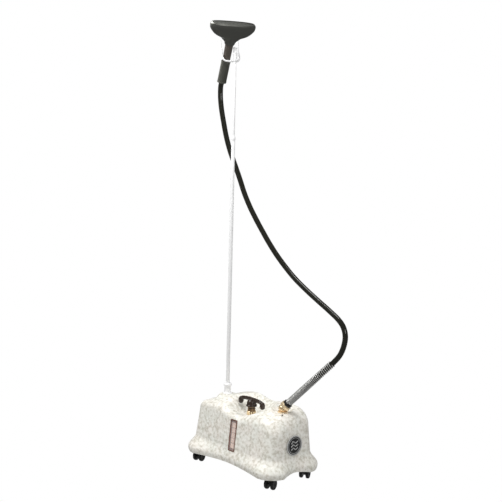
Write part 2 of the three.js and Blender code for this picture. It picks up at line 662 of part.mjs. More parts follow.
// End badge: a plain rim and field with three rising steam strokes.
function endBadge() {
  const face = (geometry) => moved(geometry.rotateZ(Math.PI / 2).rotateY(Math.PI / 2),
    BADGE_SEAT_X + GAP, 0, BADGE_Z);
  const plate = turned([[0, 0], [BADGE_RADIUS, 0], [BADGE_RADIUS, BADGE_THICKNESS],
    [BADGE_RADIUS - 4, BADGE_THICKNESS], [BADGE_RADIUS - 5, BADGE_THICKNESS - 1],
    [0, BADGE_THICKNESS - 1]], 28);
  let badge = solid(face(plate));
  for (const offset of [-11, 0, 11]) {
    const wave = new THREE.CatmullRomCurve3([-15, -5, 5, 15].map((along, i) => new THREE.Vector3(
      along, offset + (i % 2 ? 3 : -3), BADGE_THICKNESS - 0.8)));
    badge = badge.add(solid(face(bar(wave, 1.4, 9, 6))));
  }
  return badge;
}

// Steam outlet

const outletFrom = new THREE.Vector3(FITTING_X, 0, OUTLET_Z);
const outletWay = new THREE.Vector3(
  Math.cos(radians(OUTLET_RISE)) * Math.cos(radians(OUTLET_TURN)),
  Math.cos(radians(OUTLET_RISE)) * Math.sin(radians(OUTLET_TURN)),
  Math.sin(radians(OUTLET_RISE)),
);

// Turns a piece made along +Z to lie along the outlet.
function alongOutlet(geometry) {
  const turn = new THREE.Quaternion().setFromUnitVectors(new THREE.Vector3(0, 0, 1), outletWay);
  return geometry.applyQuaternion(turn).translate(outletFrom.x, outletFrom.y, outletFrom.z);
}

function steamElbow() {
  const seat = FITTING_SEAT_Z + GAP;
  const riser = rod(NIPPLE_RADIUS, TANK_Z + TANK_HEIGHT + 6, OUTLET_Z);
  const hex = rod(17.5, seat, seat + 5.5, 6);
  const ball = moved(new THREE.SphereGeometry(14.5, 16, 9), 0, 0, OUTLET_Z);
  return [riser, hex, ball].map((g) => solid(moved(g, FITTING_X, 0, 0)))
    .reduce((body, next) => body.add(next))
    .add(solid(alongOutlet(rod(NIPPLE_RADIUS, 0, HOSE_START - 1))));
}


function unionNut() {
  const hex = solid(alongOutlet(rod(UNION_RADIUS, 8.5, 18, 6)));
  const skirt = solid(alongOutlet(rod(UNION_RADIUS - 3.4, 17.8, 20.4)));
  return hex.add(skirt).subtract(solid(alongOutlet(rod(NIPPLE_RADIUS + GAP, -20, HOSE_START - 0.3))))
    .subtract(solid(alongOutlet(rod(HOSE_RADIUS + GAP, HOSE_START - 0.5, 30))))
    .subtract(solid(moved(new THREE.SphereGeometry(15, 16, 9), ...outletFrom)));
}

function hoseCollar() {
  return solid(alongOutlet(rod(GUARD_RADIUS + 3, 20.8, GUARD_START - GAP)))
    .subtract(solid(alongOutlet(rod(HOSE_RADIUS + 0.5, 15, GUARD_START + CUT))));
}

function springGuard() {
  return solid(alongOutlet(rod(GUARD_RADIUS, GUARD_START, GUARD_END, 20, GUARD_RADIUS - 0.8)))
    .subtract(solid(alongOutlet(rod(HOSE_RADIUS + 0.8, GUARD_START - CUT, GUARD_END + CUT, 20))));
}

// Hook and steam head

const headTurn = new THREE.Matrix4().makeRotationZ(radians(HEAD_TURN));
const headFrame = new THREE.Matrix4().makeTranslation(FORK)
  .multiply(headTurn)
  .multiply(new THREE.Matrix4().makeRotationX(radians(HEAD_LEAN)));

const inHead = (x, y, z) => new THREE.Vector3(x, y, z).applyMatrix4(headFrame);

// The hose's way, chosen by hand: out of the guard, round the outer bend, up past the pole on
// its far side, and down out of the grip.
const hoseWay = [
  outletFrom.clone().addScaledVector(outletWay, HOSE_START),
  outletFrom.clone().addScaledVector(outletWay, 90),
  outletFrom.clone().addScaledVector(outletWay, 160),
  outletFrom.clone().addScaledVector(outletWay, 231),
  outletFrom.clone().addScaledVector(outletWay, 245),
  ...[
    [327, 80, 450], [341, 82, 482], [345, 83, 515], [335, 83, 543], [315, 82, 563],
    [275, 80, 587], [222, 76, 616], [172, 70, 646], [124, 63, 679], [84, 57, 713], [46, 51, 750],
    [12, 46, 788], [-18, 42, 825], [-49, 38, 865], [-80, 34, 909], [-106, 31, 953],
    [-129, 29, 1000], [-152, 25, 1048], [-173, 19, 1096], [-189, 14, 1145], [-201, 10, 1196],
    [-210, 7, 1240], [-216, 6, 1280],
  ].map(([x, y, z]) => new THREE.Vector3(x, y, z)),
  inHead(0, 0, -GRIP_LENGTH - 18),
  inHead(0, 0, -GRIP_LENGTH),
  inHead(0, 0, -GRIP_LENGTH + HEAD_HOSE_DEPTH),
];

function steamHose() {
  return solid(bar(new THREE.CatmullRomCurve3(hoseWay), HOSE_RADIUS, HOSE_STEPS, HOSE_SIDES));
}

function poleSocket() {
  const seat = POLE_SEAT_Z + GAP;
  const top = seat + SOCKET_HEIGHT;
  const profile = [[0, seat], [POLE_SEAT_RADIUS - 3, seat], [POLE_SEAT_RADIUS - 3, seat + 3],
    [SOCKET_RADIUS - 1.6, seat + 5], [SOCKET_RADIUS - 1.6, top - 12], [SOCKET_RADIUS + 0.6, top - 9],
    [SOCKET_RADIUS + 0.6, top - 4], [SOCKET_RADIUS - 3, top], [0, top]];
  const bore = rod(POLE_RADIUS + GAP, seat + 6, top + CUT);
  const bolt = rod(STEM_RADIUS, seat - 14, seat + 1, 12);
  return solid(moved(turned(profile), POLE_X, 0, 0)).add(solid(moved(bolt, POLE_X, 0, 0)))
    .subtract(solid(moved(bore, POLE_X, 0, 0)));
}

function lowerPole() {
  const bore = rod(UPPER_POLE_RADIUS + GAP, POLE_JOINT_Z - POLE_JOINT_DEPTH, POLE_JOINT_Z + CUT, 16);
  return solid(moved(rod(POLE_RADIUS, POLE_SEAT_Z + 7, POLE_JOINT_Z, 16), POLE_X, 0, 0))
    .subtract(solid(moved(bore, POLE_X, 0, 0)));
}

function upperPole() {
  const foot = POLE_JOINT_Z - POLE_JOINT_DEPTH + GAP;
  return solid(moved(rod(UPPER_POLE_RADIUS, foot, POLE_TOP_Z, 16), POLE_X, 0, 0));
}

function poleFerrule() {
  const tube = ring(POLE_RADIUS + 1, UPPER_POLE_RADIUS + GAP, POLE_JOINT_Z + GAP,
    POLE_JOINT_Z + 12, 20);
  return tube.translate(POLE_X, 0, 0);
}

function headHook() {
  const half = PRONG_SPAN / 2;
  const barY = -(NECK_RADIUS / Math.cos(radians(HEAD_LEAN)) + PRONG_RADIUS + 4);
  const at = (x, y, z) => (
    new THREE.Vector3(x + PRONG_SHIFT, y, z).applyMatrix4(headTurn).add(FORK));
  const fork = new THREE.CatmullRomCurve3([
    at(-half - 2, barY + 26, PRONG_HEIGHT), at(-half, barY + 18, PRONG_HEIGHT * 0.55),
    at(-half, barY + 4, 10), at(-half + 8, barY, 0), at(0, barY, -1), at(half - 8, barY, 0),
    at(half, barY + 4, 10), at(half, barY + 18, PRONG_HEIGHT * 0.55),
    at(half + 2, barY + 26, PRONG_HEIGHT),
  ], false, 'centripetal');
  const hub = moved(rod(HUB_RADIUS, HUB_BOTTOM_Z, HUB_TOP_Z, 20), POLE_X, 0, 0);
  const bore = moved(rod(UPPER_POLE_RADIUS + GAP, HUB_BOTTOM_Z - CUT, POLE_TOP_Z + GAP, 16),
    POLE_X, 0, 0);
  const link = new THREE.LineCurve3(at(8, barY, 1), new THREE.Vector3(POLE_X, 0, FORK.z + 1));
  const strut = solid(bar(link, PRONG_RADIUS, 1, 10));
  return solid(bar(fork, PRONG_RADIUS, 36, 8)).add(strut).add(solid(hub)).subtract(solid(bore));
}

// The head's outline: half-length and half-depth at each distance along its axis.
const headStations = [
  [NECK_TOP, 17, 14.5], [71, 20.6, 15], [85, 36, 16.5], [94, 57, 18.5], [100, 66, 19.5],
  [107, 73, 20.5], [116, 80, 21.5], [126, NOZZLE_HALF_LENGTH, NOZZLE_HALF_DEPTH],
  [133, NOZZLE_HALF_LENGTH - 1, NOZZLE_HALF_DEPTH - 0.5],
  [NOZZLE_TOP, NOZZLE_HALF_LENGTH - 5, NOZZLE_HALF_DEPTH - 3],
];

function headRing([z, a, b], shrink) {
  const points = [];
  const count = 28;
  const flat = lerp(1, 0.72, smooth(a, 20, 60));
  for (let i = 0; i < count; i++) {
    const angle = i / count * 2 * Math.PI;
    const [c, s] = [Math.cos(angle), Math.sin(angle)];
    points.push(new THREE.Vector3((a - shrink) * Math.sign(c) * Math.abs(c) ** flat,
      (b - shrink) * Math.sign(s) * Math.abs(s) ** flat, z));
  }
  return points;
}

function nozzleShell() {
  const outer = loft(headStations.map((station) => headRing(station, 0)));
  const inner = loft(headStations.map(([z, a, b], i) => {
    const level = i === 0 ? z - CUT : i === headStations.length - 1 ? z + CUT : z;
    return headRing([level, a, b], NOZZLE_WALL);
  }));
  return solid(outer.applyMatrix4(headFrame)).subtract(solid(inner.applyMatrix4(headFrame)));
}

function nozzleFace() {
  const [, reach, depth] = headStations.at(-1);
  const shrink = NOZZLE_WALL + GAP + 0.3;
  const length = 2 * (reach - shrink);
  let plate = solid(loft([NOZZLE_TOP - 3.5, NOZZLE_TOP - 1.5].map((z) => (
    headRing([z, reach, depth], shrink)))));
  for (let i = 0; i < STEAM_HOLES; i++) {
    const x = lerp(-0.4, 0.4, i / (STEAM_HOLES - 1)) * length;
    plate = plate.subtract(solid(moved(rod(2.2, NOZZLE_TOP - 6, NOZZLE_TOP + CUT, 10), x, 0, 0)));
  }
  return plate.transform(headFrame.elements);
}

function headNeck() {
  const profile = [[NECK_RADIUS - 3, 0], [NECK_RADIUS, 0], [NECK_RADIUS + 0.4, 30],
    [NECK_RADIUS + 1.2, NECK_TOP - GAP], [NECK_RADIUS - 2, NECK_TOP - GAP], [NECK_RADIUS - 3, 0]];
  return solid(turned(profile).applyMatrix4(headFrame));
}

function gripSleeve() {
  const tube = ring(GRIP_RADIUS, HOSE_RADIUS + 0.8, -GRIP_LENGTH, -GAP);
  return tube.transform(headFrame.elements);
}

// Casters, each in its own turned group

function casterSocket() {
  const top = PLATE_Z + PLATE_THICKNESS;
  return solid(turned([[0, PLATE_Z - 3.3], [14, PLATE_Z - 3.3], [14, PLATE_Z - GAP],
    [STEM_RADIUS + 3, PLATE_Z - GAP], [STEM_RADIUS + 3, top + 14], [0, top + 14]], 14))
    .subtract(solid(rod(STEM_RADIUS + GAP, PLATE_Z - 10, top + 11, 12)));
}

const axleZ = WHEEL_RADIUS * Math.cos(Math.PI / WHEEL_SIDES);

function casterHood() {
  const crownZ = PLATE_Z - 3.3 - 2 * GAP;
  const dome = turned([[0, crownZ - 9], [13, crownZ - 9], [15, crownZ - 6], [12, crownZ], [0, crownZ]], 16);
  const pin = rod(STEM_RADIUS, crownZ - 2, PLATE_Z + PLATE_THICKNESS + 10, 12);
  const web = new THREE.Shape();
  web.moveTo(-9, crownZ - 4).lineTo(CASTER_TRAIL + 7, axleZ + 8);
  web.absarc(CASTER_TRAIL, axleZ, 8, 0.5, -2.4, true);
  web.lineTo(-9, crownZ - 8);
  const sheet = slab(web, HOOD_WEB).rotateX(Math.PI / 2).translate(0, HOOD_WEB / 2, 0);
  const half = WHEEL_SPACING / 2 + WHEEL_WIDTH / 2 - 1.5;
  const axle = rod(AXLE_RADIUS, -half, half, 12).rotateX(Math.PI / 2);
  return solid(dome).add(solid(pin)).add(solid(sheet))
    .add(solid(moved(axle, CASTER_TRAIL, 0, axleZ)));
}

function casterWheel() {
  const [r, w] = [WHEEL_RADIUS, WHEEL_WIDTH / 2];
  const disc = rod(r, -w, w, WHEEL_SIDES);
  const dish = rod(r - 6, w - 1.2, w + CUT, WHEEL_SIDES);
  return solid(disc).subtract(solid(dish))
    .subtract(solid(rod(AXLE_RADIUS + GAP, -w - CUT, w + CUT, 12)));
}

// Assembly

const steamer = new THREE.Group();

function addPart(name, body, material, parent = steamer) {
  const mesh = new THREE.Mesh(geometryOf(body), material);
  mesh.name = name;
  parent.add(mesh);
  return mesh;
}

addPart('housing_shell', housingShell(), finish.enamel);
addPart('base_plate', basePlate(), finish.steel);
addPart('boiler_tank', boilerTank(), finish.copper);
addPart('boiler_saddle_left', boilerSaddle(-70), finish.steel);
addPart('boiler_saddle_right', boilerSaddle(70), finish.steel);
addPart('heating_element', heatingElement(), finish.steel);
addPart('thermostat', thermostat(), finish.blackPlastic);
addPart('terminal_block', terminalBlock(), finish.blackPlastic);
addPart('filler_neck', fillerNeck(), finish.brass);
const cap = new THREE.Group();
cap.position.set(CAP_X, CAP_Y, 0);
steamer.add(cap);
addPart('cap_gasket', capGasket(), finish.rubber, cap);
addPart('cap_plug', capPlug(), finish.brass, cap);
addPart('cap_handle', capHandle(), finish.blackPlastic, cap);
addPart('window_bezel', windowBezel(), finish.copper);
addPart('window_glass', windowGlass(), finish.glass);
addPart('gauge_tube', gaugeTube(), finish.glass);
addPart('gauge_lower_fitting', gaugeFitting(gaugeLow, 1), finish.brass);
addPart('gauge_upper_fitting', gaugeFitting(gaugeHigh, -1), finish.brass);
addPart('switch_body', switchBody(), finish.blackPlastic);
addPart('pilot_lamp', pilotLamp(), finish.redLens);
addPart('cord_gland', cordGland(), finish.blackPlastic);
addPart('end_badge', endBadge(), finish.steel);
addPart('steam_elbow', steamElbow(), finish.brass);
addPart('union_nut', unionNut(), finish.brass);
addPart('hose_collar', hoseCollar(), finish.blackPlastic);
addPart('spring_guard', springGuard(), finish.steel);
addPart('steam_hose', steamHose(), finish.rubber);
addPart('pole_socket', poleSocket(), finish.whitePaint);
addPart('lower_pole', lowerPole(), finish.whitePaint);
addPart('pole_ferrule', poleFerrule(), finish.whitePaint);
addPart('upper_pole', upperPole(), finish.whitePaint);
addPart('head_hook', headHook(), finish.whitePaint);
addPart('nozzle_shell', nozzleShell(), finish.headPlastic);
addPart('nozzle_face', nozzleFace(), finish.headPlastic);
addPart('head_neck', headNeck(), finish.headPlastic);
addPart('grip_sleeve', gripSleeve(), finish.rubber);

const rockerGroup = new THREE.Group();
rockerGroup.position.set(ROCKER_X, PANEL_Y - 3, PANEL_Z);
steamer.add(rockerGroup);
addPart('switch_rocker', switchRocker(), finish.blackPlastic, rockerGroup);

for (const [place, x, y] of casterPlaces) {
  const fixed = new THREE.Group();
  fixed.position.set(x, y, 0);
  steamer.add(fixed);
  addPart(`caster_socket_${place}`, casterSocket(), finish.steel, fixed);
  const swivel = new THREE.Group();
  swivel.rotation.z = radians(SWIVEL_ANGLES[place]);
  fixed.add(swivel);
  addPart(`caster_hood_${place}`, casterHood(), finish.blackPlastic, swivel);
  for (const [side, sign] of [['inner', -1], ['outer', 1]]) {
    const wheel = new THREE.Group();
    wheel.position.set(CASTER_TRAIL, sign * WHEEL_SPACING / 2, axleZ);
    wheel.rotation.set(-sign * Math.PI / 2, 0, 0);
    swivel.add(wheel);
    const mesh = addPart(`caster_wheel_${place}_${side}`, casterWheel(), finish.blackPlastic, wheel);
    mesh.rotation.z = Math.PI / WHEEL_SIDES;
  }
}

export default steamer;
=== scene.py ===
"""An upright garment steamer: a hammered cast housing on twin-wheel casters, with its boiler,
filler cap, sight gauge, steam hose, pole, hook and hand-held steam head. Shapes are worked out
in millimetres and put into the scene in metres."""
import math

import bpy
import numpy as np
from mathutils import Matrix, Vector


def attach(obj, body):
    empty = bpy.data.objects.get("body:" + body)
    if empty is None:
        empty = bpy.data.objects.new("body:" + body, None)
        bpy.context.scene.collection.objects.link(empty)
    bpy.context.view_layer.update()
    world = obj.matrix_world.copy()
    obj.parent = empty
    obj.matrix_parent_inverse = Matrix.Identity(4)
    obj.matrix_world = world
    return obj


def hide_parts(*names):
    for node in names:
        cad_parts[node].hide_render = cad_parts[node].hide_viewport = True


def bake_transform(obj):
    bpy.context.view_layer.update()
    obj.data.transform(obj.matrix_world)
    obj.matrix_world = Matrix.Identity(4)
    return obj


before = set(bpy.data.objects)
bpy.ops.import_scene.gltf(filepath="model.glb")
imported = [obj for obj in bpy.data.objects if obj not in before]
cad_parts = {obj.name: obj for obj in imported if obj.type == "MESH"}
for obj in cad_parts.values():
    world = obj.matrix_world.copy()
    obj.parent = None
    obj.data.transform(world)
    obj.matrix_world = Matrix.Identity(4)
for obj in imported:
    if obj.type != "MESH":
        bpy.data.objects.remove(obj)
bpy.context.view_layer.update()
scene = bpy.context.scene
scene.view_settings.view_transform = "Standard"

# Camera: it stands in front of the hose end, at chest height, and looks a little down.
azimuth = math.radians(48.018)
heading = azimuth + math.radians(0.322)
pitch = math.radians(6.174)
roll = math.radians(-1.438)
distance, eye_height = 3.37324, 1.12645
forward = Vector((-math.sin(heading) * math.cos(pitch), math.cos(heading) * math.cos(pitch),
                  -math.sin(pitch)))
right = forward.cross(Vector((0, 0, 1))).normalized()
above = right.cross(forward)
across = right * math.cos(roll) - above * math.sin(roll)
upward = right * math.sin(roll) + above * math.cos(roll)
camera = bpy.data.objects.new("camera", bpy.data.cameras.new("camera"))
camera.data.lens = 71.71
camera.data.sensor_width = 36
eye = Vector((distance * math.sin(azimuth), -distance * math.cos(azimuth), eye_height))
camera.matrix_world = Matrix.Translation(eye) @ Matrix(
    (across, upward, -forward)).transposed().to_4x4()
scene.collection.objects.link(camera)
scene.camera = camera


# Steam hose: a glossy black rubber hose that leaves the guard, bends back over the housing,
# climbs past the pole on its far side and runs down into the grip of the head.
def add_piece(name, verts, faces, material, body, slot, replaced=(), sharp=40):
    mesh = bpy.data.meshes.new(name)
    mesh.from_pydata([tuple(v) for v in np.asarray(verts, float) * 0.001], [], faces)
    mesh.validate()
    mesh.shade_smooth()
    mesh.set_sharp_from_angle(angle=math.radians(sharp))
    mesh.materials.append(material)
    piece = bpy.data.objects.new(name, mesh)
    scene.collection.objects.link(piece)
    if body:
        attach(piece, body)
    if replaced:
        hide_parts(*replaced)
    return piece


def loft(rings, cyclic=False):
    """A closed skin over rings of equal point counts."""
    rings = [np.asarray(r, float) for r in rings]
    n, m = len(rings[0]), len(rings)
    faces = []
    for k in range(m if cyclic else m - 1):
        a, b = k * n, (k + 1) % m * n
        faces += [(a + i, a + (i + 1) % n, b + (i + 1) % n, b + i) for i in range(n)]
    if not cyclic:
        faces.append(tuple(range(n - 1, -1, -1)))
        faces.append(tuple((m - 1) * n + i for i in range(n)))
    return np.vstack(rings), faces


def catmull_rom(points, spacing):
    """Points close together along the centripetal Catmull-Rom curve through the given ones."""
    p = [np.asarray(q, float) for q in points]
    p = [2 * p[0] - p[1], *p, 2 * p[-1] - p[-2]]
    out = []
    for a, b, c, d in zip(p, p[1:], p[2:], p[3:]):
        t = np.cumsum([0] + [np.linalg.norm(v - u) ** 0.5 for u, v in ((a, b), (b, c), (c, d))])
        for x in np.linspace(t[1], t[2], max(2, round(np.linalg.norm(c - b) / spacing)),
                             endpoint=False):
            mix = lambda u, v, i, j: ((t[j] - x) * u + (x - t[i]) * v) / (t[j] - t[i])
            ab, bc, cd = mix(a, b, 0, 1), mix(b, c, 1, 2), mix(c, d, 2, 3)
            out.append(mix(mix(ab, bc, 0, 2), mix(bc, cd, 1, 3), 1, 2))
    return np.array(out + [p[-2]])


def tube_rings(path, radius, sides):
    """Rings of points about a path, turned as little as the path allows."""
    path = np.asarray(path, float)
    radii = np.broadcast_to(radius, len(path))
    tangent = np.gradient(path, axis=0)
    tangent /= np.linalg.norm(tangent, axis=1)[:, None]
    side = np.cross(tangent[0], (0.31, 0.87, 0.38))
    angles = np.arange(sides) / sides * 2 * math.pi
    rings = []
    for point, way, r in zip(path, tangent, radii):
        side = side - way * (side @ way)
        side /= np.linalg.norm(side)
        other = np.cross(way, side)
        rings.append(point + r * (np.outer(np.cos(angles), side) + np.outer(np.sin(angles), other)))
    return rings


def new_material(name, color, roughness=0.5, metallic=0.0, **more):
    material = bpy.data.materials.new(name)
    material.use_nodes = True
    shader = material.node_tree.nodes["Principled BSDF"]
    shader.inputs["Base Color"].default_value = (*color, 1)
    shader.inputs["Roughness"].default_value = roughness
    shader.inputs["Metallic"].default_value = metallic
    for key, value in more.items():
        shader.inputs[key.replace("_", " ")].default_value = value
    return material


def roughen(material, scale, bump, low, high, stretch=(1, 1, 1)):
    """Breaks up the roughness and the surface with a fine noise on the object's own coordinates."""
    nodes, links = material.node_tree.nodes, material.node_tree.links
    shader = nodes["Principled BSDF"]
    coords = nodes.new("ShaderNodeTexCoord")
    mapping = nodes.new("ShaderNodeMapping")
    mapping.inputs["Scale"].default_value = stretch
    noise = nodes.new("ShaderNodeTexNoise")
    noise.inputs["Scale"].default_value = scale
    noise.inputs["Detail"].default_value = 5
    spread = nodes.new("ShaderNodeMapRange")
    spread.inputs["To Min"].default_value = low
    spread.inputs["To Max"].default_value = high
    relief = nodes.new("ShaderNodeBump")
    relief.inputs["Strength"].default_value = bump
    relief.inputs["Distance"].default_value = 0.0006
    links.new(coords.outputs["Object"], mapping.inputs["Vector"])
    links.new(mapping.outputs["Vector"], noise.inputs["Vector"])
    links.new(noise.outputs["Fac"], spread.inputs["Value"])
    links.new(spread.outputs["Result"], shader.inputs["Roughness"])
    links.new(noise.outputs["Fac"], relief.inputs["Height"])
    links.new(relief.outputs["Normal"], shader.inputs["Normal"])
    return material


HOSE_RADIUS, OUTLET_X, OUTLET_Z = 9, 151, 249
outlet_from = np.array((OUTLET_X, 0, OUTLET_Z), float)
outlet_rise, outlet_turn = math.radians(45.4), math.radians(25)
outlet_way = np.array((math.cos(outlet_rise) * math.cos(outlet_turn),
                       math.cos(outlet_rise) * math.sin(outlet_turn), math.sin(outlet_rise)))
fork = Vector((-173, -9, 1404))
head_turn = Matrix.Rotation(math.radians(72), 4, "Z")
head_frame = Matrix.Translation(fork) @ head_turn @ Matrix.Rotation(math.radians(27), 4, "X")
rubber = roughen(new_material("hose_rubber", (0.014, 0.014, 0.01)), 40, 0.02, 0.08, 0.16)
hose_route = [outlet_from + outlet_way * s for s in (18.5, 90, 160, 231, 245)] + [
    (327, 80, 450), (341, 82, 482), (345, 83, 515), (335, 83, 543), (315, 82, 563),
    (275, 80, 587), (222, 76, 616), (172, 70, 646), (124, 63, 679), (84, 57, 713), (46, 51, 750),
    (12, 46, 788), (-18, 42, 825), (-49, 38, 865), (-80, 34, 909), (-106, 31, 953),
    (-129, 29, 1000), (-152, 25, 1048), (-173, 19, 1096), (-189, 14, 1145), (-201, 10, 1196),
    (-210, 7, 1240), (-216, 6, 1280),
] + [head_frame @ Vector((0, 0, z)) for z in (-96, -78, -58)]
hose_line = catmull_rom(hose_route, 5)
hose = add_piece("hose", *loft(tube_rings(hose_line, HOSE_RADIUS, 20)), rubber, None, "rubber",
                 ["steam_hose"])
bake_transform(hose)

# Spring guard: one steel wire wound tight on the hose at the union and opening towards its end.
steel = roughen(new_material("spring_steel", (0.62, 0.62, 0.6), metallic=0.55), 60, 0.02, 0.25, 0.4)
guard_start, guard_end, guard_radius, wire_radius = 29.2, 238.5, 11.2, 1.25
tight_pitch, added_pitch, opens_at, opens_over, turn_steps = 3.1, 4.2, 95, 90, 20
along, angle = [guard_start], [0.0]
while along[-1] < guard_end:
    opening = min(1, max(0, (along[-1] - opens_at) / opens_over))
    angle.append(angle[-1] + 2 * math.pi / turn_steps)
    along.append(along[-1] + (tight_pitch + added_pitch * opening) / turn_steps)
guard_side = np.cross(outlet_way, (0, 0, 1))
guard_side /= np.linalg.norm(guard_side)
guard_up = np.cross(guard_side, outlet_way)
coil = [outlet_from + outlet_way * s
        + guard_radius * (guard_side * math.cos(a) + guard_up * math.sin(a))
        for s, a in zip(along, angle)]
guard = add_piece("spring_coil", *loft(tube_rings(coil, wire_radius, 7)), steel, "base", "steel",
                  ["spring_guard"])


# Hose collar: the turned black ring that holds the guard against the union nut.
def rounded_corner(before, here, after, radius, shares):
    """The points of a small curve that takes the place of a corner."""
    legs = [np.linalg.norm(before - here), np.linalg.norm(after - here)]
    size = min(radius, 0.45 * min(legs))
    start = here + (before - here) / legs[0] * size
    end = here + (after - here) / legs[1] * size
    return [(1 - t) ** 2 * start + 2 * t * (1 - t) * here + t * t * end for t in shares]


def spun(line, sides, cyclic=False):
    turn = np.arange(sides) / sides * 2 * math.pi
    ring = np.stack([np.cos(turn), np.sin(turn), np.zeros(sides)], 1)
    return loft([ring * max(r, 0.01) + (0, 0, z) for r, z in line], cyclic)


def lathe(profile, sides=48, radius=0.6):
    """A turned piece about Z from (radius, z) corners, rounded but for the first and last."""
    points = [np.asarray(p, float) for p in profile]
    line = [points[0]]
    for before, here, after in zip(points, points[1:], points[2:]):
        line += rounded_corner(before, here, after, radius, (0, 0.33, 0.67, 1))
    return spun(line + [points[-1]], sides)


def ring_piece(profile, sides=48, radius=0.5):
    """A turned ring: the corners of its section in order, closed on themselves."""
    points = [np.asarray(p, float) for p in profile]
    line = []
    for i, here in enumerate(points):
        after = points[(i + 1) % len(points)]
        line += rounded_corner(points[i - 1], here, after, radius, (0, 0.5, 1))
    return spun(line, sides, cyclic=True)


def set_at(shape, matrix):
    verts, faces = shape
    m = np.array(matrix)
    return np.asarray(verts) @ m[:3, :3].T + m[:3, 3], faces


def joined(*shapes):
    verts, faces = [], []
    for v, f in shapes:
        base = sum(len(x) for x in verts)
        verts.append(np.asarray(v))
        faces += [tuple(i + base for i in face) for face in f]
    return np.vstack(verts), faces


outlet_frame = Matrix.Translation(Vector(outlet_from)) @ Vector((0, 0, 1)).rotation_difference(
    Vector(outlet_way)).to_matrix().to_4x4()
black_plastic = roughen(new_material("black_plastic", (0.018, 0.017, 0.016)), 140, 0.04, 0.28, 0.42)
collar = add_piece("collar", *set_at(ring_piece([(9.6, 20.8), (15.2, 20.8), (15.4, 28), (9.6, 28)]),
                                     outlet_frame), black_plastic, "base", "black_plastic",
                   ["hose_collar"])


# Housing: one sand casting with flared feet, a bowl round the filler neck and a crown that falls
# towards the hose end. It is finished in a pale hammered enamel.
def smoothstep(x, low, high):
    t = np.clip((np.asarray(x, float) - low) / (high - low), 0, 1)
    return t * t * (3 - 2 * t)


def lerp(a, b, t):
    return a + (b - a) * t


BODY_END, BODY_SIDE, FLARE, FLARE_TOP, BULGE, LIP = 208, 101, 27, 100, 54, 38
WALL, PLAN_RADIUS, SIDE_FLARE, LIP_ARCH, FRONT_FALL = 4, 40, 0.34, 7, 22
LEFT_DRAFT, RIGHT_DRAFT, SIDE_DRAFT = 0.09, 0.02, 0.1
SHOULDER_RADIUS, CROWN_RADIUS = 22, 44
CAP_X, CAP_Y, CAP_SEAT_Z, POLE_X = 8, -12, 198, -135
stations = np.array([(-1, 208), (-0.78, 226), (-0.42, 246), (0, 251), (0.3, 246), (0.62, 245),
                     (0.84, 238), (1, 226)], float) * (BODY_END, 1)
ends = np.vstack([stations[:1], stations, stations[-1:]])
crown_line = []
for a, b, c, d in zip(ends, ends[1:], ends[2:], ends[3:]):
    for t in np.arange(24) / 24:
        v0, v1 = (c - a) / 2, (d - b) / 2
        crown_line.append((2 * b - 2 * c + v0 + v1) * t ** 3
                          + (-3 * b + 3 * c - 2 * v0 - v1) * t ** 2 + v0 * t + b)
crown_line = np.array(crown_line + [stations[-1]])
# Each seat's place and height, its flat's radius, and its slope's reach to the ends, front and back.
seats = [(CAP_X, CAP_Y, CAP_SEAT_Z, 24, 100, 118, 112), (OUTLET_X, 0, 235, 23, 44, 50, 44),
         (POLE_X, 0, 241, 20, 42, 42, 42)]


def crown(x, y):
    z = np.interp(x, crown_line[:, 0], crown_line[:, 1])
    front_share = smoothstep(-y, 10, BODY_SIDE - 15)
    z = z - FRONT_FALL * front_share * smoothstep(x, -BODY_END, -BODY_END / 3)
    for sx, sy, sz, flat, side_ends, front, back in seats:
        away = np.hypot(x - sx, y - sy)
        turn = np.arctan2(y - sy, x - sx)
        reach = np.where(y < sy, front, back)
        edge = 1 / np.hypot(np.cos(turn) / side_ends, np.sin(turn) / reach)
        z = lerp(z, sz, 1 - smoothstep(away, flat + 2, edge))
    return z


def wall_ring(level, inset, height):
    over = max(0, level - FLARE_TOP)
    left = BODY_END - LEFT_DRAFT * over - inset
    right_end = BODY_END - RIGHT_DRAFT * over - inset
    side = BODY_SIDE - SIDE_DRAFT * over - inset
    radius = PLAN_RADIUS - inset
    corners = [(right_end, side), (-left, side), (-left, -side), (right_end, -side)]
    rows = []
    for q, (x, y) in enumerate(corners):
        cx, cy = x - math.copysign(radius, x), y - math.copysign(radius, y)
        for a in (q + np.arange(21) / 20) * math.pi / 2:
            nx, ny = math.cos(a), math.sin(a)
            rows.append((cx + radius * nx, cy + radius * ny, nx, ny, 1))
        next_x, next_y = corners[(q + 1) % 4]
        along_x = q % 2 == 0
        steps = 64 if along_x else 32
        start = (cx, y) if along_x else (x, cy)
        stop = ((next_x - math.copysign(radius, next_x), y) if along_x
                else (x, next_y - math.copysign(radius, next_y)))
        a = (q + 1) * math.pi / 2
        for t in np.arange(1, steps) / steps:
            rows.append((lerp(start[0], stop[0], t), lerp(start[1], stop[1], t), math.cos(a),
                         math.sin(a), abs(2 * t - 1) ** 1.6))
    x, y, nx, ny, corner = np.array(rows).T
    rise = np.clip((FLARE_TOP - level) / (FLARE_TOP - BULGE), 0, 1)
    tuck = np.clip((BULGE - level) / (BULGE - LIP), 0, 1)
    flare = lerp(SIDE_FLARE, 1, corner) * (FLARE * smoothstep(rise, 0, 1) - 4 * tuck * tuck)
    z = height(x, y) + (1 - corner) * LIP_ARCH * smoothstep(FLARE_TOP - level, 20, 64)
    return np.stack([x + nx * flare, y + ny * flare, z], 1)


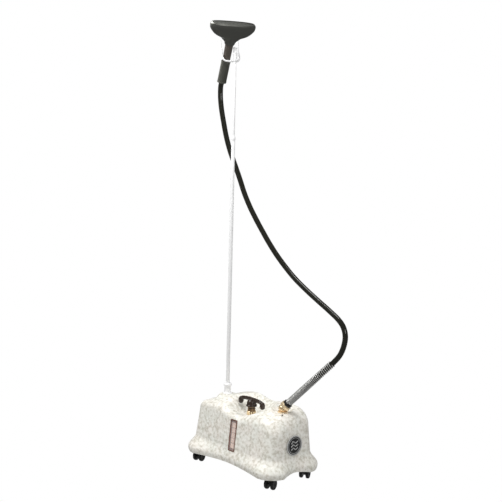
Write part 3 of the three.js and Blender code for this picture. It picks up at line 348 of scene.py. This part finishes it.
def housing_rings(inset):
    rings = [wall_ring(level, inset, lambda x, y, z=level: z)
             for level in (*range(LIP, 62, 2), *range(62, 101, 3), 100)]
    top = lambda x, y: crown(x, y) - inset
    edge = lambda x: lerp(SHOULDER_RADIUS, CROWN_RADIUS, smoothstep(x, -BODY_END, BODY_END))
    for share in np.arange(1, 13) / 12:
        rings.append(wall_ring(lerp(FLARE_TOP, CAP_SEAT_Z, share), inset, lambda x, y: lerp(
            FLARE_TOP, top(x, y) - edge(x), share)))
    rim = rings[-1]
    for turn in np.radians(np.arange(7.5, 91, 7.5)):
        radius, run = edge(rim[:, 0]), np.hypot(rim[:, 0], rim[:, 1])
        draw = 1 - radius * (1 - math.cos(turn)) / run
        x, y = rim[:, 0] * draw, rim[:, 1] * draw
        rings.append(np.stack([x, y, top(x, y) - radius * (1 - math.sin(turn))], 1))
    brow = rings[-1]
    for share in np.linspace(0.97, 0.02, 44):
        x, y = brow[:, 0] * share, brow[:, 1] * share
        rings.append(np.stack([x, y, top(x, y)], 1))
    return rings


enamel = new_material("hammered_enamel", (0.8, 0.79, 0.75), 0.42)
nodes, links = enamel.node_tree.nodes, enamel.node_tree.links
coords = nodes.new("ShaderNodeTexCoord")
cells = nodes.new("ShaderNodeTexNoise")
cells.inputs["Scale"].default_value = 96
cells.inputs["Detail"].default_value = 6
cells.inputs["Roughness"].default_value = 0.55
tones = nodes.new("ShaderNodeValToRGB")
tones.color_ramp.elements[0].position = 0.36
tones.color_ramp.elements[0].color = (0.62, 0.59, 0.525, 1)
tones.color_ramp.elements[1].position = 0.64
tones.color_ramp.elements[1].color = (0.93, 0.92, 0.885, 1)
middle = tones.color_ramp.elements.new(0.5)
middle.color = (0.82, 0.8, 0.75, 1)
drift = nodes.new("ShaderNodeTexNoise")
drift.inputs["Scale"].default_value = 24
tint = nodes.new("ShaderNodeMix")
tint.data_type = "RGBA"
tint.blend_type = "MULTIPLY"
tint.inputs[0].default_value = 1
casts = nodes.new("ShaderNodeValToRGB")
casts.color_ramp.elements[0].position = 0.35
casts.color_ramp.elements[0].color = (0.97, 0.985, 0.955, 1)
casts.color_ramp.elements[1].position = 0.65
casts.color_ramp.elements[1].color = (1, 0.98, 0.95, 1)
dents = nodes.new("ShaderNodeTexVoronoi")
dents.feature = "SMOOTH_F1"
dents.inputs["Scale"].default_value = 105
relief = nodes.new("ShaderNodeBump")
relief.inputs["Strength"].default_value = 0.55
relief.inputs["Distance"].default_value = 0.0012
links.new(coords.outputs["Object"], cells.inputs["Vector"])
links.new(coords.outputs["Object"], drift.inputs["Vector"])
links.new(coords.outputs["Object"], dents.inputs["Vector"])
links.new(cells.outputs["Fac"], tones.inputs["Fac"])
links.new(drift.outputs["Fac"], casts.inputs["Fac"])
links.new(tones.outputs["Color"], tint.inputs[6])
links.new(casts.outputs["Color"], tint.inputs[7])
links.new(tint.outputs[2], nodes["Principled BSDF"].inputs["Base Color"])
links.new(dents.outputs["Distance"], relief.inputs["Height"])
links.new(relief.outputs["Normal"], nodes["Principled BSDF"].inputs["Normal"])
# One skin runs up the outside and down the inside. The band between the two crowns is left out,
# both crowns are closed, and the lips are joined.
outer, inner = housing_rings(0), housing_rings(WALL)
count = len(outer[0])
skin, faces = loft(outer + inner[::-1])
crown_band = (len(outer) - 1) * count
faces = faces[:crown_band] + faces[crown_band + count:-2]
faces.append(tuple(crown_band + i for i in range(count)))
faces.append(tuple(len(outer) * count + i for i in range(count - 1, -1, -1)))
last = (len(outer) + len(inner) - 1) * count
faces += [(last + i, last + (i + 1) % count, (i + 1) % count, i) for i in range(count)]


def rounded_rect(width, height, radius, z, steps=6):
    w, h = width / 2 - radius, height / 2 - radius
    points = []
    for q, (x, y) in enumerate(((w, h), (-w, h), (-w, -h), (w, -h))):
        for a in (q + np.arange(steps + 1) / steps) * math.pi / 2:
            points.append((x + radius * math.cos(a), y + radius * math.sin(a), z))
    return np.array(points)


def slab(width, height, radius, low, high, bevel=0.5):
    r = max(radius - bevel, 0.05)
    return loft([rounded_rect(width - 2 * bevel, height - 2 * bevel, r, low),
                 rounded_rect(width, height, radius, low + bevel),
                 rounded_rect(width, height, radius, high - bevel),
                 rounded_rect(width - 2 * bevel, height - 2 * bevel, r, high)])


WINDOW_X, WINDOW_Z, WINDOW_WIDTH, WINDOW_HEIGHT, POCKET_DEPTH = 10, 139, 32, 108, 0.8
SWITCH_X, LAMP_X, GLAND_X, PANEL_Y, PANEL_Z = -32, -58, -86, 103, 124
window_y = POCKET_DEPTH - (BODY_SIDE - SIDE_DRAFT * (WINDOW_Z - FLARE_TOP))
window_frame = Matrix.Translation((WINDOW_X, window_y, WINDOW_Z)) @ Matrix.Rotation(
    math.pi / 2 - math.atan(SIDE_DRAFT), 4, "X")
neck_at = Matrix.Translation((CAP_X, CAP_Y, 0))


def panel_at(x):
    return Matrix.Translation((x, PANEL_Y, PANEL_Z)) @ Matrix.Rotation(-math.pi / 2, 4, "X")


def apply_modifiers(piece):
    """Puts what the piece's modifiers make into its own mesh."""
    graph = bpy.context.evaluated_depsgraph_get()
    made = bpy.data.meshes.new_from_object(piece.evaluated_get(graph))
    piece.modifiers.clear()
    piece.data = made
    made.shade_smooth()
    return made


shell = add_piece("housing", skin, faces, enamel, None, "enamel", ["housing_shell"], sharp=60)
cuts = [set_at(slab(WINDOW_WIDTH + 0.6, WINDOW_HEIGHT + 0.6, 4.3, -30, 20, 0.01), window_frame),
        set_at(slab(20.6, 28.6, 2, -50, 20, 0.01), panel_at(SWITCH_X)),
        set_at(lathe([(0, -50), (5.3, -50), (5.3, 20), (0, 20)]), panel_at(LAMP_X)),
        set_at(lathe([(0, -50), (9.3, -50), (9.3, 20), (0, 20)]), panel_at(GLAND_X)),
        set_at(lathe([(0, 150), (13.3, 150), (13.3, 215), (0, 215)]), neck_at)]
boss = set_at(slab(96, 64, 8, -15, 0, 0.6), panel_at(LAMP_X))
tools = []
for index, (shape, way) in enumerate([(boss, "UNION")] + [(c, "DIFFERENCE") for c in cuts]):
    tool_mesh = bpy.data.meshes.new(f"cutter_{index}")
    tool_mesh.from_pydata([tuple(v) for v in np.asarray(shape[0]) * 0.001], [], shape[1])
    tool = bpy.data.objects.new(f"cutter_{index}", tool_mesh)
    scene.collection.objects.link(tool)
    tools.append(tool)
    modifier = shell.modifiers.new(f"cut_{index}", "BOOLEAN")
    modifier.object = tool
    modifier.operation = way
    modifier.solver = "EXACT"
apply_modifiers(shell).set_sharp_from_angle(angle=math.radians(50))
for tool in tools:
    bpy.data.objects.remove(tool)
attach(shell, "base")

# Pieces inside and under the housing: the sheet base plate, the copper boiler with its element,
# thermostat and saddles, and the gauge fittings, all in the frame's own plain shapes.
copper = roughen(new_material("copper", (0.62, 0.36, 0.24), metallic=1), 70, 0.04, 0.3, 0.5)
brass = roughen(new_material("brass", (0.9, 0.68, 0.42), metallic=0.7), 80, 0.03, 0.16, 0.32)
plate_steel = roughen(new_material("plate_steel", (0.5, 0.5, 0.49), metallic=1), 45, 0.05, 0.3, 0.5)
glass = new_material("gauge_glass", (0.95, 0.93, 0.9), 0.05, Transmission_Weight=0.9, IOR=1.45)
inside = {"base_plate": plate_steel, "boiler_tank": copper, "boiler_saddle_left": plate_steel,
          "boiler_saddle_right": plate_steel, "heating_element": plate_steel,
          "thermostat": black_plastic, "terminal_block": black_plastic, "gauge_tube": glass,
          "gauge_lower_fitting": brass, "gauge_upper_fitting": brass}
for place in ("left_front", "right_front", "right_rear", "left_rear"):
    inside[f"caster_socket_{place}"] = plate_steel
for node, material in inside.items():
    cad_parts[node].data.materials[0] = material


# Screws and other small repeats: one unit piece set on points, each along its own axis.
def repeats(name, points, axes, radius, depth, sides, material, body):
    mesh = bpy.data.meshes.new(name)
    mesh.from_pydata([tuple(np.asarray(p) * 0.001) for p in points], [], [])
    axis = mesh.attributes.new("axis", "FLOAT_VECTOR", "POINT")
    axis.data.foreach_set("vector", np.asarray(axes, float).ravel())
    piece = bpy.data.objects.new(name, mesh)
    scene.collection.objects.link(piece)
    tree = bpy.data.node_groups.new(name, "GeometryNodeTree")
    tree.interface.new_socket("Geometry", in_out="INPUT", socket_type="NodeSocketGeometry")
    tree.interface.new_socket("Geometry", in_out="OUTPUT", socket_type="NodeSocketGeometry")
    made = {kind: tree.nodes.new(kind) for kind in (
        "NodeGroupInput", "NodeGroupOutput", "GeometryNodeInstanceOnPoints",
        "GeometryNodeMeshCylinder", "GeometryNodeInputNamedAttribute",
        "FunctionNodeAlignRotationToVector", "GeometryNodeRealizeInstances",
        "GeometryNodeSetMaterial")}
    unit = made["GeometryNodeMeshCylinder"]
    unit.inputs["Vertices"].default_value = sides
    unit.inputs["Radius"].default_value = radius * 0.001
    unit.inputs["Depth"].default_value = depth * 0.001
    named = made["GeometryNodeInputNamedAttribute"]
    named.data_type = "FLOAT_VECTOR"
    named.inputs["Name"].default_value = "axis"
    align = made["FunctionNodeAlignRotationToVector"]
    align.axis = "Z"
    on_points = made["GeometryNodeInstanceOnPoints"]
    made["GeometryNodeSetMaterial"].inputs["Material"].default_value = material
    tree.links.new(made["NodeGroupInput"].outputs[0], on_points.inputs["Points"])
    tree.links.new(unit.outputs["Mesh"], on_points.inputs["Instance"])
    tree.links.new(named.outputs[0], align.inputs["Vector"])
    tree.links.new(align.outputs["Rotation"], on_points.inputs["Rotation"])
    tree.links.new(on_points.outputs["Instances"], made["GeometryNodeRealizeInstances"].inputs[0])
    tree.links.new(made["GeometryNodeRealizeInstances"].outputs[0],
                   made["GeometryNodeSetMaterial"].inputs["Geometry"])
    tree.links.new(made["GeometryNodeSetMaterial"].outputs[0], made["NodeGroupOutput"].inputs[0])
    piece.modifiers.new("repeat", "NODES").node_group = tree
    apply_modifiers(piece).set_sharp_from_angle(angle=math.radians(35))
    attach(piece, body)
    return piece


def crown_point(x, y):
    z = float(crown(x, y))
    normal = np.array((float(crown(x - 1, y)) - float(crown(x + 1, y)),
                       float(crown(x, y - 1)) - float(crown(x, y + 1)), 2.0))
    return (x, y, z), normal / np.linalg.norm(normal)


screws = [crown_point(-72, 6), crown_point(66, -30), crown_point(176, -26)]
repeats("crown_screws", [p for p, _ in screws], [n for _, n in screws], 3.2, 2.2, 16, plate_steel,
        "base")

# Sight gauge: a reddish copper bezel, a ribbed half-round sight behind it and a clear pane.
bezel_copper = roughen(new_material("bezel_copper", (0.3, 0.15, 0.11), metallic=0.6),
                       90, 0.04, 0.35, 0.5)
bezel = loft([rounded_rect(WINDOW_WIDTH - inward, WINDOW_HEIGHT - inward, radius, z)
              for inward, radius, z in (
                  (0, 4, 0.3), (0, 4, 1.5), (1, 3.6, 2), (4.6, 2.4, 2), (5, 2.2, 1.4),
                  (5, 2.2, -7), (3, 2.6, -7), (3, 2.6, 0.3))], cyclic=True)
add_piece("gauge_bezel", *set_at(bezel, window_frame), bezel_copper, "base", "copper",
          ["window_bezel"])
pane = set_at(slab(26.6, 102.6, 1.5, -1.6, 0.4, 0.3), window_frame)
pane_glass = new_material("pane", (1, 0.97, 0.95), 0.04, Alpha=0.12)
add_piece("gauge_pane", *pane, pane_glass, "base", "glass", ["window_glass"])
sight_copper = roughen(new_material("sight_copper", (0.86, 0.66, 0.56), metallic=0.1), 120, 0.1,
                       0.3, 0.5, (1, 1, 0.3))
arc = [(13.2 * math.cos(a), -5.2 + 3.2 * math.sin(a)) for a in np.linspace(0, math.pi, 17)]
section = arc + [(-13.2, -7), (13.2, -7)]
sight = loft([np.array([(x, along_y, z) for x, z in section]) for along_y in (44, -44)])
add_piece("gauge_sight", *set_at(sight, window_frame), sight_copper, "base", "copper")
for order, (low, high) in enumerate(((44.2, 51.3), (-51.3, -44.2))):
    end_block = set_at(set_at(slab(26.4, high - low, 1, -7, -1.9, 0.5),
                              Matrix.Translation((0, (low + high) / 2, 0))), window_frame)
    add_piece(f"gauge_end_{order + 1}", *end_block, bezel_copper, "base", "copper")
gauge_bar_points = [window_frame @ Vector((0, y, -2.3)) for y in (-26, -9, 9, 26)]
bar_axis = window_frame.to_3x3() @ Vector((1, 0, 0))
repeats("gauge_bars", gauge_bar_points, [bar_axis] * 4, 0.7, 26, 10, bezel_copper, "base")

# Filler neck: a brass tube with a toothed nut at its foot and a darker plain collar above.
teeth = []
for i in range(12):
    for share, r in ((0, 12.8), (0.28, 12.8), (0.36, 16), (0.92, 16)):
        a = (i + share) / 12 * 2 * math.pi
        teeth.append((r * math.cos(a), r * math.sin(a)))
teeth = np.array(teeth)
nut = loft([np.column_stack([teeth * s, np.full(len(teeth), z)]) for s, z in (
    (0.62, 198.3), (0.98, 198.3), (1, 198.8), (1, 210.4), (0.96, 211.3), (0.62, 211.3))])
tube = ring_piece([(9.5, 185), (13, 185), (13, 209), (13.4, 210.5), (13.4, 221.3), (9.5, 221.3)])
bright_brass = roughen(new_material("bright_brass", (0.95, 0.78, 0.52), metallic=0.6), 80, 0.03,
                       0.16, 0.3)
dark_bronze = roughen(new_material("dark_bronze", (0.2, 0.13, 0.075), metallic=0.9), 90, 0.05,
                      0.25, 0.45)
add_piece("neck_nut", *set_at(nut, neck_at), bright_brass, "base", "brass", sharp=30)
add_piece("neck_tube", *set_at(tube, neck_at), dark_bronze, "base", "brass", ["filler_neck"])

# Filler cap: a rubber seal, a brass plug and a black handle like a telephone receiver over a dome.
seal = ring_piece([(9.6, 221.6), (13, 221.6), (13, 224), (9.6, 224)])
add_piece("cap_seal_ring", *set_at(seal, neck_at), rubber, "cap_seal", "rubber", ["cap_gasket"])
plug = lathe([(0, 209.5), (8, 209.5), (9, 211), (9, 224.3), (14, 224.3), (15, 227.3), (0, 227.3)])
add_piece("cap_stopper", *set_at(plug, neck_at), dark_bronze, "filler_cap", "brass", ["cap_plug"])
base_z, top_z, reach = 227.6, 251.1, 55
dome = lathe([(0, base_z), (19, base_z), (20, base_z + 3), (17, base_z + 7), (16, base_z + 16),
              (12, base_z + 22), (7, base_z + 28), (0, base_z + 30)], 64, 3)
arch = catmull_rom([(-reach, 0, base_z + 12), (6 - reach, 0, top_z - 4), (-26, 0, top_z),
                    (0, 0, top_z + 1), (26, 0, top_z), (reach - 6, 0, top_z - 4),
                    (reach, 0, base_z + 12)], 1.5)
arch_shape = loft(tube_rings(arch, 6.5, 20))
lobe = lathe([(0, 0), (5.5, 0.6), (9.2, 6), (9.2, 16), (5.5, 24), (0, 25)], 32, 3)
lobes = [set_at(lobe, Matrix.Translation((x, 0, base_z - 1))) for x in (-reach, reach)]
handle = add_piece("cap_grip", *set_at(joined(dome, arch_shape, *lobes), neck_at), black_plastic,
                   None, "black_plastic", ["cap_handle"])
remesh = handle.modifiers.new("fuse", "REMESH")
remesh.mode = "VOXEL"
remesh.voxel_size = 0.0008
soften = handle.modifiers.new("soften", "SMOOTH")
soften.factor = 0.5
soften.iterations = 6
fused = apply_modifiers(handle)
phenolic = roughen(new_material("phenolic", (0.035, 0.022, 0.016)), 60, 0.08, 0.2, 0.38)
fused.materials.clear()
fused.materials.append(phenolic)
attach(handle, "filler_cap")

# Steam outlet: a brass elbow on a hexagon base and the union nut that clamps the hose.
ball_radius = 14.5
ball = lathe([(ball_radius * math.sin(a), OUTLET_Z - ball_radius * math.cos(a))
              for a in np.linspace(0, math.pi, 25)], 40, 0.2)
hex_base = lathe([(0, 235.3), (17.5, 235.3), (17.5, 240.8), (0, 240.8)], 6, 1.2)
riser = lathe([(0, 190), (8, 190), (8, OUTLET_Z), (0, OUTLET_Z)], 32)
elbow = set_at(joined(ball, hex_base, riser), Matrix.Translation((OUTLET_X, 0, 0)))
nipple = set_at(lathe([(0, 0), (8, 0), (8, 17.5), (0, 17.5)], 32), outlet_frame)
add_piece("elbow", *joined(elbow, nipple), brass, "base", "brass", ["steam_elbow"], sharp=30)
nut_hex = set_at(loft([np.column_stack([r * np.cos(np.arange(6) * math.pi / 3), r * np.sin(
    np.arange(6) * math.pi / 3), np.full(6, z)]) for r, z in (
        (12.8, 8.5), (18.4, 8.5), (20, 9.6), (20, 17), (18.4, 18), (9.4, 18))], cyclic=True),
    outlet_frame)
nut_skirt = set_at(ring_piece([(9.4, 17.6), (16.6, 17.6), (16.6, 20.4), (9.4, 20.4)]), outlet_frame)
add_piece("hose_union", *joined(nut_hex, nut_skirt), bright_brass, "base", "brass", ["union_nut"],
          sharp=30)

# End badge: a dark cast disc with a bright rim and three rising strokes of steam.
badge_at = Matrix.Translation((210.3, 0, 136)) @ Matrix.Rotation(
    math.pi / 2, 4, "Y") @ Matrix.Rotation(math.pi / 2, 4, "Z")
badge_dark = roughen(new_material("badge_field", (0.03, 0.03, 0.03), metallic=0.3), 70, 0.1,
                     0.35, 0.55)
badge_bright = roughen(new_material("badge_rim", (0.7, 0.7, 0.69), metallic=0.5), 70, 0.05,
                       0.2, 0.4)
field = lathe([(0, 0), (30, 0), (30, 1.5), (0, 1.5)], 64)
add_piece("badge_field", *set_at(field, badge_at), badge_dark, "base", "steel", ["end_badge"])
rims = joined(ring_piece([(30.2, 0), (34, 0), (34, 2.5), (30.2, 2.5)], 64),
              ring_piece([(25.5, 1), (27, 1), (27, 2.2), (25.5, 2.2)], 64))
strokes = [loft(tube_rings(catmull_rom([(x, off + (3 if i % 2 else -3), 1.7) for i, x in enumerate(
    (-15, -5, 5, 15))], 1), 1.5, 10)) for off in (-11, 0, 11)]
add_piece("badge_rim", *set_at(joined(rims, *strokes), badge_at), badge_bright, "base", "steel")

# Rear panel: a rocker switch in its frame, a red pilot lamp and the gland of the supply cord.
switch = loft([rounded_rect(25, 33, 3, 0.3), rounded_rect(25, 33, 3, 1.8),
               rounded_rect(24, 32, 2.6, 2.3), rounded_rect(15, 23, 1, 2.3),
               rounded_rect(15, 23, 1, -12), rounded_rect(20, 28, 2, -12),
               rounded_rect(20, 28, 2, 0.3)], cyclic=True)
back_can = slab(20, 28, 2, -19, -12, 0.4)
add_piece("switch_frame", *set_at(joined(switch, back_can), panel_at(SWITCH_X)), black_plastic, "base",
          "black_plastic", ["switch_body"])
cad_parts["switch_rocker"].data.materials[0] = phenolic
lens = lathe([(0, -16), (4.8, -16), (4.8, 0.3), (6.8, 0.3), (6.4, 2), (4, 3.6), (0, 4.6)], 40)
add_piece("lamp_lens", *set_at(lens, panel_at(LAMP_X)), new_material(
    "red_lens", (0.5, 0.02, 0.015), 0.12, Transmission_Weight=0.4), "base", "red_lens",
    ["pilot_lamp"])
gland = ring_piece([(4.4, -14), (9, -14), (9, 0.3), (12, 0.3), (12, 4), (8, 5), (6.4, 14),
                    (4.4, 14)])
add_piece("gland", *set_at(gland, panel_at(GLAND_X)), black_plastic, "base", "black_plastic",
          ["cord_gland"])

# Pole: a socket on the crown, a thicker lower tube, a ferrule and a thinner upper tube, all white.
white = roughen(new_material("white_paint", (0.88, 0.88, 0.88)), 60, 0.02, 0.22, 0.34)
pole_at = Matrix.Translation((POLE_X, 0, 0))
POLE_RADIUS, UPPER_RADIUS, JOINT_Z = 6.5, 4.8, 1134
seat_z, socket_top = 241.3, 279.3
socket = ring_piece([(6.8, 247.3), (6.8, socket_top), (10, socket_top), (13.6, socket_top - 4),
                     (13.6, socket_top - 9), (11.4, socket_top - 12), (11.4, seat_z + 5),
                     (17, seat_z + 3), (17, seat_z), (0.5, seat_z), (0.5, 247.3)])
bolt = lathe([(0, 227.3), (4, 227.3), (4, 242.3), (0, 242.3)], 24)
add_piece("socket", *set_at(joined(socket, bolt), pole_at), white, "base", "white_paint",
          ["pole_socket"])
lower = lathe([(0, 248), (POLE_RADIUS, 248), (POLE_RADIUS, JOINT_Z), (0, JOINT_Z)], 40)
add_piece("pole_lower", *set_at(lower, pole_at), white, "base", "white_paint", ["lower_pole"])
ferrule = ring_piece([(5.1, 1134.3), (7.5, 1134.3), (7.5, 1146), (5.1, 1146)])
add_piece("ferrule", *set_at(ferrule, pole_at), white, "base", "white_paint", ["pole_ferrule"])
upper = lathe([(0, 1134.4), (UPPER_RADIUS, 1134.4), (UPPER_RADIUS, 1444), (0, 1444)], 32)
add_piece("pole_upper", *set_at(upper, pole_at), white, "base", "white_paint", ["upper_pole"])

# Hook: a white wire fork with a cross bar on a hub that caps the pole.
NECK_RADIUS, PRONG_RADIUS, PRONG_SHIFT = 13, 3.2, 11
bar_y = -(NECK_RADIUS / math.cos(math.radians(27)) + PRONG_RADIUS + 4)


def at_fork(x, y, z):
    return Matrix.Translation(fork) @ head_turn @ Vector((x + PRONG_SHIFT, y, z))


wire = catmull_rom([at_fork(*p) for p in (
    (-33, bar_y + 26, 70), (-31, bar_y + 18, 38.5), (-31, bar_y + 4, 10), (-23, bar_y, 0),
    (0, bar_y, -1), (23, bar_y, 0), (31, bar_y + 4, 10), (31, bar_y + 18, 38.5),
    (33, bar_y + 26, 70))], 2)
strut = [tuple(at_fork(8, bar_y, 1)), (POLE_X, 0, 1405)]
hub = set_at(lathe([(0, 1402), (7, 1402), (7, 1450), (0, 1450)], 32, 2), pole_at)
bars_of_hook = [loft(tube_rings(path, PRONG_RADIUS, 16)) for path in (wire, strut)]
add_piece("hook", *joined(*bars_of_hook, hub), white, "base", "white_paint", ["head_hook"])

# Steam head: a wide moulded nozzle with a row of near-black discs on its face, painted shade standing
# in for its steam holes, a ribbed neck and a knurled rubber grip.
head_plastic = roughen(new_material("head_plastic", (0.12, 0.122, 0.11), metallic=0.7), 170, 0.04,
                       0.3, 0.42)
head_stations = [(62, 17, 14.5), (71, 20.6, 15), (85, 36, 16.5), (94, 57, 18.5), (100, 66, 19.5),
                 (107, 73, 20.5), (116, 80, 21.5), (126, 82, 22), (133, 81, 21.5), (138, 77, 19)]
levels, half_lengths, half_depths = np.array(head_stations, float).T
head_foot, head_top, head_wall = 62, 138, 2.5
smooth_levels = np.unique(np.concatenate([np.linspace(head_foot, head_top, 42), levels]))


def head_ring(z, shrink, level=None):
    a = np.interp(z, levels, half_lengths)
    b = np.interp(z, levels, half_depths)
    flat = lerp(1, 0.72, float(smoothstep(a, 20, 60)))
    turn = np.arange(72) / 72 * 2 * math.pi
    c, s = np.cos(turn), np.sin(turn)
    return np.column_stack([(a - shrink) * np.sign(c) * np.abs(c) ** flat,
                            (b - shrink) * np.sign(s) * np.abs(s) ** flat,
                            np.full(72, z if level is None else level)])


nozzle = loft([head_ring(z, 0) for z in smooth_levels]
              + [head_ring(z, head_wall) for z in smooth_levels[::-1]], cyclic=True)
add_piece("nozzle", *set_at(nozzle, head_frame), head_plastic, "steam_head", "head_plastic",
          ["nozzle_shell"])
face_plate = loft([head_ring(head_top, shrink, z)
                   for shrink, z in ((3.1, 134.5), (3.1, 136.3), (3.4, 136.5))])
add_piece("nozzle_plate", *set_at(face_plate, head_frame), head_plastic, "steam_head",
          "head_plastic", ["nozzle_face"])
hole_count, hole_reach = 9, 59.12
hole_points = [head_frame @ Vector((x, 0, 136.2))
               for x in np.linspace(-hole_reach, hole_reach, hole_count)]
face_axis = head_frame.to_3x3() @ Vector((0, 0, 1))
# The holes are not cut: each is a thin near-black disc, painted shade for the dark inside of a hole.
repeats("steam_hole_shade_discs", hole_points, [face_axis] * hole_count, 2.2, 0.9, 16, new_material(
    "painted_hole_shade", (0.004, 0.004, 0.004), 0.8), "steam_head")
neck_plastic = roughen(new_material("neck_plastic", (0.085, 0.072, 0.06)), 150, 0.08, 0.3, 0.45)
turn = np.arange(96) / 96 * 2 * math.pi
ridge = 0.55 * (np.cos(16 * turn) > 0)
neck_rings = [np.column_stack([(r + ridge) * np.cos(turn), (r + ridge) * np.sin(turn),
                               np.full(96, z)])
              for r, z in ((9.4, 0), (12.2, 0), (12.8, 0.8), (12.9, 30), (13.6, 61), (10.4, 61.6))]
add_piece("neck", *set_at(loft(neck_rings), head_frame), neck_plastic, "steam_head",
          "head_plastic", ["head_neck"], sharp=30)
grip_rubber = roughen(new_material("grip_rubber", (0.075, 0.076, 0.062)), 60, 0.02, 0.4, 0.55)
turn = np.arange(120) / 120 * 2 * math.pi
grip_foot, grip_top, cuff = -78, -0.3, 5
grip_rings = []
for z in np.linspace(grip_foot, grip_top, 118):
    knurled = min(z - grip_foot, grip_top - z) > cuff
    radius = 15.4 + 0.45 * np.sign(np.sin(24 * turn + z * 0.9)) if knurled else np.full(120, 16.2)
    grip_rings.append(np.column_stack([radius * np.cos(turn), radius * np.sin(turn),
                                       np.full(120, z)]))
bore = [np.column_stack([9.9 * np.cos(turn), 9.9 * np.sin(turn), np.full(120, z)])
        for z in (grip_top, grip_foot)]
add_piece("grip", *set_at(loft(grip_rings + bore, cyclic=True), head_frame), grip_rubber,
          "steam_head", "rubber", ["grip_sleeve"], sharp=25)

# Casters: each has a hood with a web between two dark wheels on one axle.
wheel_black = roughen(new_material("wheel_black", (0.012, 0.012, 0.012)), 80, 0.03, 0.12, 0.3)
CASTER_X, CASTER_Y, TRAIL, HALF_SPACING = 187, 72, 14, 11.5
axle_z = 18.4 * math.cos(math.pi / 20)
tyre = ring_piece([(3.3, -5.5), (15, -5.5), (17.2, -4.6), (18.2, -2), (18.2, 2), (17.2, 4.6),
                   (14, 5.5), (12.6, 3.6), (3.3, 3.6)], 48, 0.8)
for place, x, y, swing in (
        ("left_front", -CASTER_X, -CASTER_Y, -70), ("right_front", CASTER_X, -CASTER_Y, -70),
        ("right_rear", CASTER_X, CASTER_Y, 120), ("left_rear", -CASTER_X, CASTER_Y, 100)):
    stand = Matrix.Translation((x, y, 0)) @ Matrix.Rotation(math.radians(swing), 4, "Z")
    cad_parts[f"caster_hood_{place}"].data.materials[0] = wheel_black
    for side, sign in (("inner", -1), ("outer", 1)):
        wheel_at = stand @ Matrix.Translation((TRAIL, sign * HALF_SPACING, axle_z)) \
            @ Matrix.Rotation(-sign * math.pi / 2, 4, "X")
        add_piece(f"wheel_{place}_{side}_tyre", *set_at(tyre, wheel_at), wheel_black,
                  f"wheel_{place}_{side}", "black_plastic", [f"caster_wheel_{place}_{side}"])

# Floor, light and backdrop: a plain white sweep that stays dim in reflections, a large soft lamp
# high on the left, one overhead, one low on the right, and two small ones close to the steam head.
def by_ray(tree, diffuse, glossy):
    """Full white to the camera, and less of it as light and in reflections."""
    seen = tree.nodes.new("ShaderNodeLightPath")
    value = None
    for ray, other in (("Is Glossy Ray", glossy), ("Is Camera Ray", 1.0)):
        mix = tree.nodes.new("ShaderNodeMix")
        mix.inputs[2].default_value = diffuse
        mix.inputs[3].default_value = other
        tree.links.new(seen.outputs[ray], mix.inputs[0])
        if value:
            tree.links.new(value, mix.inputs[2])
        value = mix.outputs[0]
    return value


floor_mesh = bpy.data.meshes.new("floor")
floor_mesh.from_pydata([(-9, -9, 0), (9, -9, 0), (9, 9, 0), (-9, 9, 0)], [], [(0, 1, 2, 3)])
floor = bpy.data.objects.new("floor", floor_mesh)
scene.collection.objects.link(floor)
sweep = bpy.data.materials.new("sweep")
sweep.use_nodes = True
sweep.node_tree.nodes.clear()
glow = sweep.node_tree.nodes.new("ShaderNodeEmission")
surface = sweep.node_tree.nodes.new("ShaderNodeOutputMaterial")
sweep.node_tree.links.new(by_ray(sweep.node_tree, 0.42, 0.2), glow.inputs["Strength"])
sweep.node_tree.links.new(glow.outputs["Emission"], surface.inputs["Surface"])
floor_mesh.materials.append(sweep)
world = bpy.data.worlds.new("studio")
scene.world = world
world.use_nodes = True
background = world.node_tree.nodes["Background"]
background.inputs["Color"].default_value = (1, 1, 1, 1)
world.node_tree.links.new(by_ray(world.node_tree, 0.6, 0.12), background.inputs["Strength"])
body_middle, head_middle = (0, 0, 0.5), (-0.2, 0, 1.5)
for name, place, aim, size, power in (
        ("key", (-1.2, -2.6, 3.0), body_middle, 1.2, 52),
        ("top", (0.6, -0.2, 3.4), body_middle, 0.8, 20),
        ("strip", (3.2, -0.6, 1.7), body_middle, 0.7, 18),
        ("head", (0, -0.4, 2), head_middle, 0.35, 6),
        ("glint", (-0.45, -0.3, 1.9), head_middle, 0.15, 3.5)):
    lamp = bpy.data.objects.new(name, bpy.data.lights.new(name, "AREA"))
    lamp.data.size = size
    lamp.data.energy = power
    lamp.location = place
    lamp.rotation_euler = (Vector(aim) - Vector(place)).to_track_quat("-Z", "Y").to_euler()
    scene.collection.objects.link(lamp)
